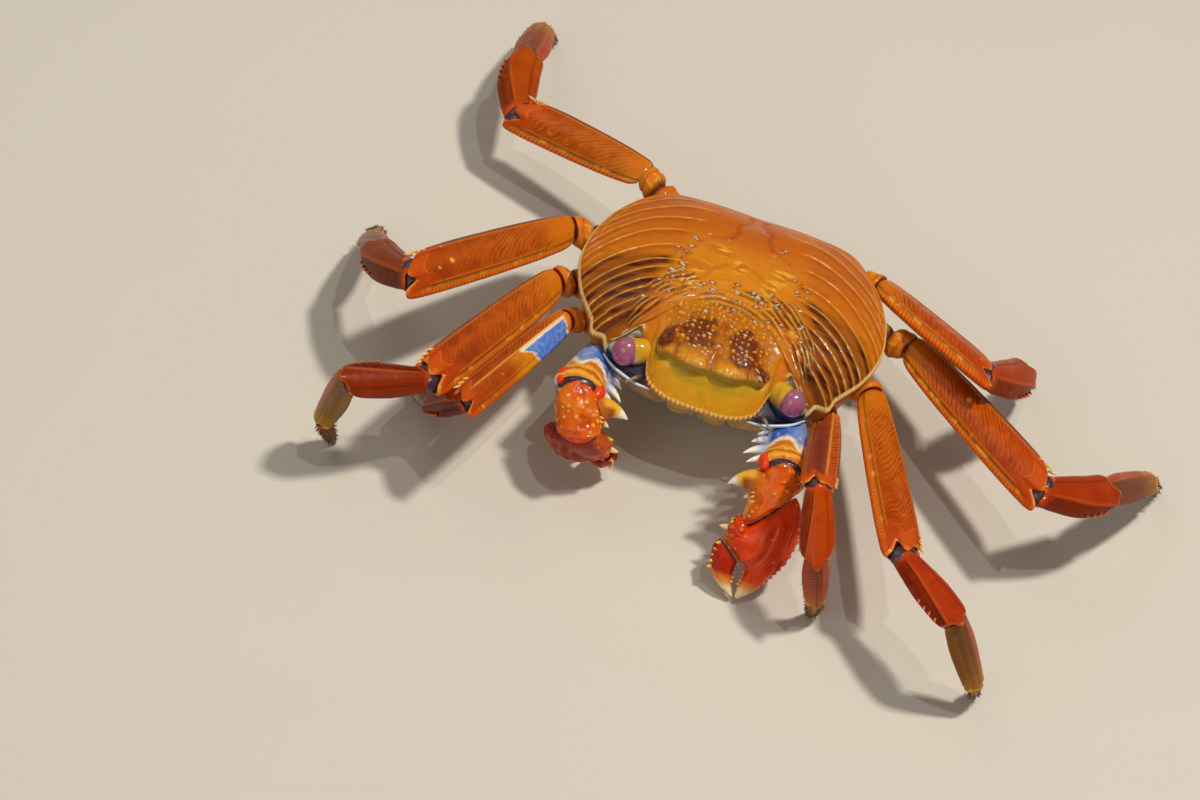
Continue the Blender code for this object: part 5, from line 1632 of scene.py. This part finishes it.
def build_arm(name, look, skin_look):
    side = SIDES[name]
    joints = arm_joints(name)
    face = np.array(ARM_FACE)
    ways = [unit(b[0] - a[0]) for a, b in zip(joints, joints[1:])]
    bends = bends_of(ways)
    skins = Pile()
    for i, (part, (shape, width, depth, spines)) in enumerate(ARM_SEGMENTS.items()):
        (start, start_normal), (end, end_normal) = joints[i : i + 2]
        ends = ((start + start_normal * GAP / 2, start_normal), (end - end_normal * GAP / 2, end_normal))
        grid, g = limb_grid(
            ends, shape, width, depth, face, ARM_GRIDS[part], (-bends[i], -bends[i + 1]),
            ARM_NOTCHES[part], arches=ARM_ARCHES[part],
        )
        inner_way = across(g["axis"], face)[0] * -side
        inner = 1 if inner_way @ g["broad"] > 0 else -1
        height, colour, gloss = paint_arm(g, part, inner, 700 + 30 * i + side)
        edge = np.minimum(g["s"], 1 - g["s"]) * g["length"]
        pile = Pile()
        grid = closing(raised(grid, height * ramp(0.0, 0.6, edge)))
        pile.add(grid, closed_like(colour, (MEMBRANE, MEMBRANE)), closed_like(gloss))
        for k, (share, reach, ahead, radius) in enumerate(spines):
            root = start + (end - start) * share + inner_way * (width / 2 - SPINE_ROOT)
            tip = root + inner_way * reach + g["axis"] * ahead
            hooked = -g["axis"] * 0.16 * reach
            if part == "merus":
                fine = dict(rows=20, sides=16, blunt=0.06)
                add_spine(pile, root, tip, radius * 1.25, ARM_SPINE, WHITE, hooked, **fine)
            else:
                add_hook(pile, root, tip, radius * 2.0, hooked)
        if part == "merus":
            for w in (1, -1):
                for shift, size in ((0.0, 1.15), (1.5, 0.8)):
                    lobe = place_on(g, 0.985, 0.86 * w * inner, 0.25) + g["axis"] * shift
                    axes = (g["axis"] * 2.0 * size, g["broad"] * 1.5 * size, g["normal"] * 1.9 * size)
                    bulb = ellipsoid(lobe, axes, 26, 30)
                    pile.add(raised(bulb, 0.15 * noise(bulb, 0.9, 707), lobe), (0.84, 0.055, 0.004), 0.95)
        if part == "carpus":
            for k in range(4):
                base = place_on(g, 0.55 + 0.12 * k, 0.8 * inner, 0.5)
                tip = base + inner_way * 0.9 + g["axis"] * 0.4 + g["normal"] * 0.4
                add_spine(pile, base, tip, 0.5, (0.84, 0.36, 0.03), THORN_POINT)
        piece(f"plate_claw_{name}_{part}", pile, look, "claw", f"claw_{name}_{part}")
        if i:
            add_membrane(skins, *joints[i], face, width * ARM_SKIN, depth * ARM_SKIN, ARM_REACH[part])
    hub, along = joints[3][0], unit(ARMS[name][4])
    add_membrane(skins, hub, along, np.array(ARMS[name][5]), *WRIST_SKIN)
    piece(f"joint_skin_claw_{name}", skins, skin_look, "claw")
    build_hand(name, side, look)


def hand_grid(stations, hub, along, over, normal, count, lean):
    """A hand or finger as a grid, with u along it, v across it and the sine round its section."""
    table = np.array(stations)
    at = np.arange(len(table))
    t = np.linspace(0, len(table) - 1, count)
    u, low, high, thick, slant = (smooth_table(t, at, column)[:, None] for column in table.T)
    angle = tau * np.arange(count)[None] / count
    v = (low + high) / 2 + (high - low) / 2 * np.cos(angle)
    y = thick / 2 * np.sin(angle)
    reach = u - slant * (lean[0] * v + lean[1] * y)
    points = hub + along * reach[..., None] + over * v[..., None] + normal * y[..., None]
    across_share = np.cos(angle) * np.ones_like(u)
    return points, u * np.ones_like(v), v, across_share, np.sin(angle) * np.ones_like(u)


# Each hand's darker and lighter red. The right hand's reds are the same red darkened: painted shade.
HAND_REDS = {
    "l": ((0.56, 0.022, 0.002), (0.80, 0.060, 0.004)),
    "r": ((0.20, 0.007, 0.001), (0.34, 0.015, 0.001)),
}
PALM_GRID, FINGER_GRID = 150, 110
# The fan of low ridges on the palm: where they cross the hub (v), the hub's v, and half a ridge's width.
RIDGES, RIDGE_HUB, RIDGE_HALF = (1.2, 3.9, 6.3), 8.0, 0.42
PALM_BEAD = 1.3
# The knobbly shoulder beside the wrist (u, v, height), and its thorns: (u, v, length, girth), at two heights.
SHOULDER = (6.0, -5.2, 0.4)
SHOULDER_THORNS = (
    (8.8, -6.6, 1.6, 0.8), (4.4, -7.0, 1.5, 0.8), (10.6, -5.4, 1.3, 0.7), (7.7, -7.2, 1.0, 0.6),
)
# Teeth of the cutting edges: (u, v).
PALM_TEETH = ((14.5, 0.2), (15.7, 0.0), (16.8, 0.0), (17.9, -0.1), (18.9, -0.1), (19.9, -0.1))
FINGER_TEETH = ((14.2, -2.7), (15.4, -2.7), (16.6, -2.7), (17.8, -2.6), (19.0, -2.2))


def build_hand(name, side, look):
    _, _, _, hub, along, face, wrist_face = (np.array(value) for value in ARMS[name])
    along = unit(along)
    normal = unit(face - along * (face @ along))
    over = np.cross(along, normal) * -side
    square = along @ wrist_face
    lean = (over @ wrist_face / square, normal @ wrist_face / square)

    def at(u, v, y=0.0):
        return hub + along * u + over * v + normal * y

    points, u, v, c, n = hand_grid(PALM, hub, along, over, normal, PALM_GRID, lean)
    soft, fine = noise(points, 5.0, 801), noise(points, 1.1, 803)
    outer = ramp(0.0, 0.35, n)
    fan = (v - RIDGE_HUB) / (1.0 + 0.028 * (u - 4) ** 2 * ramp(4, 30, u)) + RIDGE_HUB
    ridges = sum(peak(fan, level, RIDGE_HALF) for level in RIDGES)
    ridges = ridges * outer * ramp(1.5, 5.0, u) * ramp(20, 14, u)
    lower = ramp(0.86, 0.99, c) * ramp(1, 4, u) * ramp(21, 18, u) * bead_row(u, PALM_BEAD)
    away, number = cells(points, 2.6, 805, 0.8)
    knob = dome(away, 0.16) * (number > 0.5) * ramp(16, 12, u)
    reach = u + 0.5 * fine
    colour = layers(
        mix(*HAND_REDS[name], ramp(-0.5, 0.7, soft + 0.5 * n)),
        ((0.72, 0.065, 0.004), 0.55 * np.clip(ridges, 0, 1)),
        ((0.20, 0.004, 0.001), 0.3 * outer * peak(fan, 2.5, 0.7) * ramp(1, 5, u)),
        ((0.78, 0.14, 0.01), 0.6 * ramp(-0.7, -0.97, c) * ramp(13.5, 11.0, u)),
        ((0.86, 0.24, 0.03), ramp(16.4, 18.6, reach)),
        (CLAW_TIP, ramp(18.2, 20.6, reach)),
        ((0.86, 0.34, 0.06), 0.6 * ramp(0.2, 0.8, knob)),
        ((0.72, 0.10, 0.008), 0.6 * lower),
        ((0.50, 0.10, 0.02), 0.4 * ramp(-0.2, -0.7, n)),
    )
    height = 0.38 * ridges + 0.4 * lower + 0.2 * knob + 0.16 * soft + 0.03 * fine
    grid = closing(raised(points, height * ramp(-0.6, 1.2, u)))
    pile = Pile()
    pile.add(grid, closed_like(colour), closed_like(0.85 + 0.1 * soft))
    u0, v0, reach, radius = PALM_SPINE
    thorny = dict(rows=14, sides=12, blunt=0.3)
    add_spine(pile, at(u0, v0), at(u0 + 0.5, v0 - reach), radius * 1.15, THORN_ROOT, CREAM, **thorny)
    shoulder = ellipsoid(at(*SHOULDER), (along * 3.5, over * 2.9, normal * 3.3), 44, 60)
    lump = dome(cells(shoulder, 1.7, 807, 0.7)[0], 0.42)
    tint = mix((0.58, 0.035, 0.003), (0.80, 0.22, 0.015), 0.7 * ramp(0.4, 0.95, lump))
    pile.add(raised(shoulder, 0.5 * lump, at(*SHOULDER)), tint, 0.9)
    hues = (0.80, 0.20, 0.012), (0.88, 0.52, 0.08)
    for su, sv, length, girth in SHOULDER_THORNS:
        for y in (-1.6, 1.2):
            tip = at(su + 0.3, sv - length * 0.75, y * 1.3)
            add_spine(pile, at(su, sv + 0.5, y), tip, girth, *hues, **thorny)
    add_teeth(pile, at, PALM_TEETH, -1)
    piece(f"plate_claw_{name}_palm", pile, look, "claw", f"claw_{name}_palm")

    points, _, _, c, n = hand_grid(FINGER, hub, along, over, normal, FINGER_GRID, (1.0, 0.0))
    soft, fine = noise(points, 4.0, 811), noise(points, 1.0, 813)
    u = (points - hub) @ along
    ridge = peak(c, -0.2, 0.12) * ramp(0.0, 0.35, n) * ramp(20, 17, u)
    away, number = cells(points, 1.9, 815, 0.8)
    knob = dome(away, 0.18) * (number > 0.5) * ramp(16, 12, u)
    reach = u + 0.5 * fine
    colour = layers(
        (0.22, 0.007, 0.001),
        ((0.50, 0.024, 0.002), ramp(-0.3, 0.8, soft + 0.3 * n)),
        ((0.86, 0.26, 0.03), ramp(16.6, 18.8, reach)),
        (CLAW_TIP, ramp(18.8, 20.8, reach)),
        ((0.84, 0.36, 0.05), 0.6 * ramp(0.2, 0.8, knob)),
    )
    height = 0.22 * ridge + 0.22 * knob + 0.12 * soft + 0.03 * fine
    pile = Pile()
    pile.add(closing(raised(points, height)), closed_like(colour), closed_like(0.85 + 0.1 * soft))
    for k in range(5):
        base = at(10.6 + 1.6 * k, -8.4 + 0.02 * k, 1.4)
        tip = base - over * 1.1 + along * 0.3 + normal * 0.4
        add_spine(pile, base, tip, 0.62, (0.80, 0.26, 0.02), THORN_POINT, **thorny)
    add_teeth(pile, at, FINGER_TEETH, 1)
    piece(f"plate_claw_{name}_finger", pile, look, "claw", f"claw_{name}_finger")


def add_teeth(pile, at, places, way):
    """Blunt teeth along a cutting edge, pointing to greater or lesser v."""
    for k, (u, v) in enumerate(places):
        tip = at(u + 0.1, v + way * (0.62 + 0.22 * sin(k * 2.4 + way)))
        hues = (0.62, 0.10, 0.01), (0.88, 0.62, 0.22)
        add_spine(pile, at(u, v - way * 0.7), tip, 0.62, *hues, rows=12, sides=12, blunt=0.35)


# ---------------------------------------------------------------- materials


class Look:
    """A node material under construction."""

    def __init__(self, name):
        self.material = bpy.data.materials.new(name)
        self.material.use_nodes = True
        self.tree = self.material.node_tree
        self.shader = next(node for node in self.tree.nodes if node.type == "BSDF_PRINCIPLED")
        self.place = self.node("ShaderNodeTexCoord").outputs["Object"]

    def node(self, kind, settings=(), **inputs):
        """A new node, its inputs given by name, or by number as i0, i1 and so on."""
        made = self.tree.nodes.new(kind)
        for key, value in dict(settings).items():
            setattr(made, key, value)
        for key, value in inputs.items():
            self.set(made.inputs[int(key[1:]) if key[1:].isdigit() else key], value)
        return made

    def set(self, socket, value):
        if isinstance(value, bpy.types.NodeSocket):
            self.tree.links.new(value, socket)
        else:
            socket.default_value = value

    def paint(self):
        """The colour and the gloss painted on the mesh."""
        made = self.node("ShaderNodeAttribute", dict(attribute_name="tint"))
        return made.outputs["Color"], made.outputs["Alpha"]

    def noise(self, scale, detail):
        made = self.node("ShaderNodeTexNoise", Vector=self.place, Scale=scale, Detail=detail, Roughness=0.6)
        return made.outputs[0]

    def cells(self, scale):
        return self.node("ShaderNodeTexVoronoi", Vector=self.place, Scale=scale).outputs["Distance"]

    def fit(self, value, low, high, to_low, to_high):
        return self.node("ShaderNodeMapRange", i0=value, i1=low, i2=high, i3=to_low, i4=to_high).outputs[0]

    def blend(self, factor, first, second, how="MIX"):
        made = self.node("ShaderNodeMix", dict(data_type="RGBA", blend_type=how))
        sockets = [s for s in made.inputs if s.enabled]
        for socket, value in zip(sockets, (factor, first, second)):
            self.set(socket, value)
        return next(s for s in made.outputs if s.enabled)

    def bump(self, height, strength, distance, **before):
        made = self.node("ShaderNodeBump", Height=height, Strength=strength, Distance=distance, **before)
        return made.outputs["Normal"]

    def finish(self, **inputs):
        """The material, with the shader's inputs given by name, an underscore for each space."""
        for key, value in inputs.items():
            self.set(self.shader.inputs[key.replace("_", " ")], value)
        return self.material


# Wet, pigmented shell: (roughness, coat, coat roughness, strength of the mottle, strength of the grain).
SHELL_LOOKS = {
    "carapace": (0.42, 0.26, 0.05, 0.30, 1.0),
    "leg": (0.40, 0.18, 0.08, 0.32, 1.0),
    "claw": (0.30, 0.38, 0.06, 0.25, 0.7),
    "under": (0.45, 0.20, 0.25, 0.30, 1.0),
    "stalk": (0.28, 0.50, 0.08, 0.20, 0.6),
    "feeler": (0.45, 0.20, 0.25, 0.30, 1.0),
}


def shell_look(name):
    """The painted colour, mottled, with pits and hair-fine lines in the bump."""
    roughness, coat, coat_roughness, mottle, grain = SHELL_LOOKS[name]
    look = Look(f"{name}_shell")
    colour, gloss = look.paint()
    cloudy = look.noise(420.0, 4.0)
    speckle = look.cells(2600.0)
    freckle = look.noise(2200.0, 2.0)
    colour = look.blend(look.fit(cloudy, 0.35, 0.7, 0.0, mottle), colour, (0.66, 0.56, 0.40, 1), "MULTIPLY")
    colour = look.blend(look.fit(freckle, 0.55, 0.75, 0.0, 0.22), colour, (1.0, 0.72, 0.30, 1), "SOFT_LIGHT")
    colour = look.blend(look.fit(speckle, 0.0, 0.35, 0.22, 0.0), colour, (0.55, 0.32, 0.22, 1), "MULTIPLY")
    dry = look.fit(look.noise(260.0, 2.0), 0.3, 0.7, roughness - 0.09, roughness + 0.12)
    rough = look.node("ShaderNodeMath", dict(operation="MULTIPLY_ADD"), i0=gloss, i1=-0.14, i2=dry)
    pits = look.bump(speckle, 0.18 * grain, 0.00012)
    grains = look.bump(look.noise(3400.0, 3.0), 0.3 * grain, 0.00012, Normal=pits)
    return look.finish(
        Base_Color=colour,
        Roughness=rough.outputs[0],
        Normal=look.bump(cloudy, 0.25, 0.0004, Normal=grains),
        Coat_Weight=coat,
        Coat_Roughness=coat_roughness,
        Specular_IOR_Level=0.09,
    )


def skin_look():
    look = Look("joint_skin")
    colour, _ = look.paint()
    folds = look.noise(1500.0, 4.0)
    return look.finish(
        Base_Color=look.blend(look.fit(folds, 0.4, 0.7, 0.0, 0.7), colour, (0.09, 0.03, 0.05, 1)),
        Roughness=look.fit(folds, 0.3, 0.7, 0.14, 0.3),
        Normal=look.bump(folds, 0.4, 0.0003),
        Coat_Weight=0.5,
    )


def cornea_look():
    look = Look("cornea")
    colour, _ = look.paint()
    facets = look.cells(5200.0)
    colour = look.blend(look.fit(facets, 0.2, 0.6, 0.0, 0.35), colour, (0.20, 0.04, 0.13, 1))
    cloud = look.noise(500.0, 2.0)
    return look.finish(
        Base_Color=look.blend(look.fit(cloud, 0.4, 0.7, 0.0, 0.3), colour, (0.46, 0.17, 0.33, 1)),
        Roughness=look.fit(cloud, 0.3, 0.7, 0.16, 0.26),
        Normal=look.bump(facets, 0.1, 0.00005),
        Coat_Weight=0.8,
        Coat_Roughness=0.06,
    )


def bristle_look():
    look = Look("bristle")
    colour, _ = look.paint()
    tone = look.noise(900.0, 2.0)
    return look.finish(
        Base_Color=look.blend(look.fit(tone, 0.35, 0.7, 0.0, 0.6), colour, (0.22, 0.09, 0.03, 1)),
        Roughness=look.fit(tone, 0.3, 0.7, 0.35, 0.55),
    )


def floor_look():
    look = Look("floor")
    tone = look.noise(6.0, 3.0)
    return look.finish(
        Base_Color=look.blend(tone, (0.62, 0.58, 0.51, 1), (0.66, 0.62, 0.55, 1)),
        Roughness=0.8,
    )


# ---------------------------------------------------------------- stage

CAMERA_HEIGHT_ANGLE = 48.0
CAMERA_TURN = 2.0
CAMERA_ROLL = 17.0
CAMERA_DISTANCE = 1000.0
CAMERA_LENS, CAMERA_SENSOR = 120.0, 36.0
# The nearest thing the camera shows, in metres.
CAMERA_NEAR = 0.01
CAMERA_AIM = (0.8, 0.0, 42.0)
# Where the aim lies from the middle of the view, to the right and up, in mm.
AIM_RIGHT, AIM_UP = 34.5, 26.0

# Square soft lights, all towards one point: (place and size in metres, power in watts, colour).
LIGHT_AIM = (0, 0, 0.03)
LIGHTS = {
    "key": ((0.30, 0.02, 1.15), 0.10, 9.5, (1.0, 0.94, 0.84)),
    "sparkle": ((0.10, -0.22, 1.2), 0.02, 1.6, (1.0, 0.97, 0.92)),
    "fill": ((-0.45, -1.0, 0.70), 0.8, 2.6, (1.0, 0.96, 0.90)),
    "top": ((-0.70, 0.30, 0.95), 0.7, 1.4, (1.0, 0.95, 0.88)),
}
WORLD_COLOUR, WORLD_STRENGTH = (1.0, 0.96, 0.90, 1.0), 0.17
# Half the floor's side, in metres.
FLOOR_HALF = 3.0


def add_camera():
    raise_by, turn, roll = (radians(value) for value in (CAMERA_HEIGHT_ANGLE, CAMERA_TURN, CAMERA_ROLL))
    back = np.array([sin(turn) * cos(raise_by), -cos(turn) * cos(raise_by), sin(raise_by)])
    right = np.array([cos(turn), sin(turn), 0.0])
    up = np.cross(back, right)
    rolled_right = cos(roll) * right + sin(roll) * up
    rolled_up = -sin(roll) * right + cos(roll) * up
    middle = np.array(CAMERA_AIM) - rolled_right * AIM_RIGHT - rolled_up * AIM_UP
    columns = (rolled_right, rolled_up, back, (middle + back * CAMERA_DISTANCE + OFFSET) * MM)
    camera = bpy.data.objects.new("camera", bpy.data.cameras.new("camera"))
    camera.data.lens = CAMERA_LENS
    camera.data.sensor_width = CAMERA_SENSOR
    camera.data.clip_start = CAMERA_NEAR
    camera.matrix_world = Matrix([[column[row] for column in columns] for row in range(3)] + [[0, 0, 0, 1]])
    bpy.context.scene.collection.objects.link(camera)
    bpy.context.scene.camera = camera


def add_light(name):
    place, size, power, colour = LIGHTS[name]
    lamp = bpy.data.lights.new(name, "AREA")
    lamp.size = size
    lamp.energy = power
    lamp.color = colour
    made = bpy.data.objects.new(name, lamp)
    made.location = place
    made.rotation_euler = (Vector(LIGHT_AIM) - Vector(place)).to_track_quat("-Z", "Y").to_euler()
    bpy.context.scene.collection.objects.link(made)


def add_stage():
    mesh = bpy.data.meshes.new("floor")
    corners = [(x * FLOOR_HALF, y * FLOOR_HALF, 0) for x, y in ((-1, -1), (1, -1), (1, 1), (-1, 1))]
    mesh.from_pydata(corners, [], [(0, 1, 2, 3)])
    mesh.materials.append(floor_look())
    floor = bpy.data.objects.new("floor", mesh)
    bpy.context.scene.collection.objects.link(floor)
    for name in LIGHTS:
        add_light(name)
    world = bpy.data.worlds.new("world")
    world.use_nodes = True
    inputs = world.node_tree.nodes["Background"].inputs
    inputs["Color"].default_value = WORLD_COLOUR
    inputs["Strength"].default_value = WORLD_STRENGTH
    bpy.context.scene.world = world
    bpy.context.scene.view_settings.view_transform = "Standard"


def main():
    shells = {name: shell_look(name) for name in SHELL_LOOKS}
    skin, bristle = skin_look(), bristle_look()
    build_carapace(shells["carapace"])
    build_trunk(shells["under"])
    build_tail(shells["under"])
    build_mouth(shells["under"], shells["feeler"])
    build_eyes(shells["stalk"], cornea_look())
    for name in LEGS:
        build_leg(name, shells["leg"], skin, bristle)
    for name in ARMS:
        build_arm(name, shells["claw"], skin)
    add_stage()
    add_camera()


main()
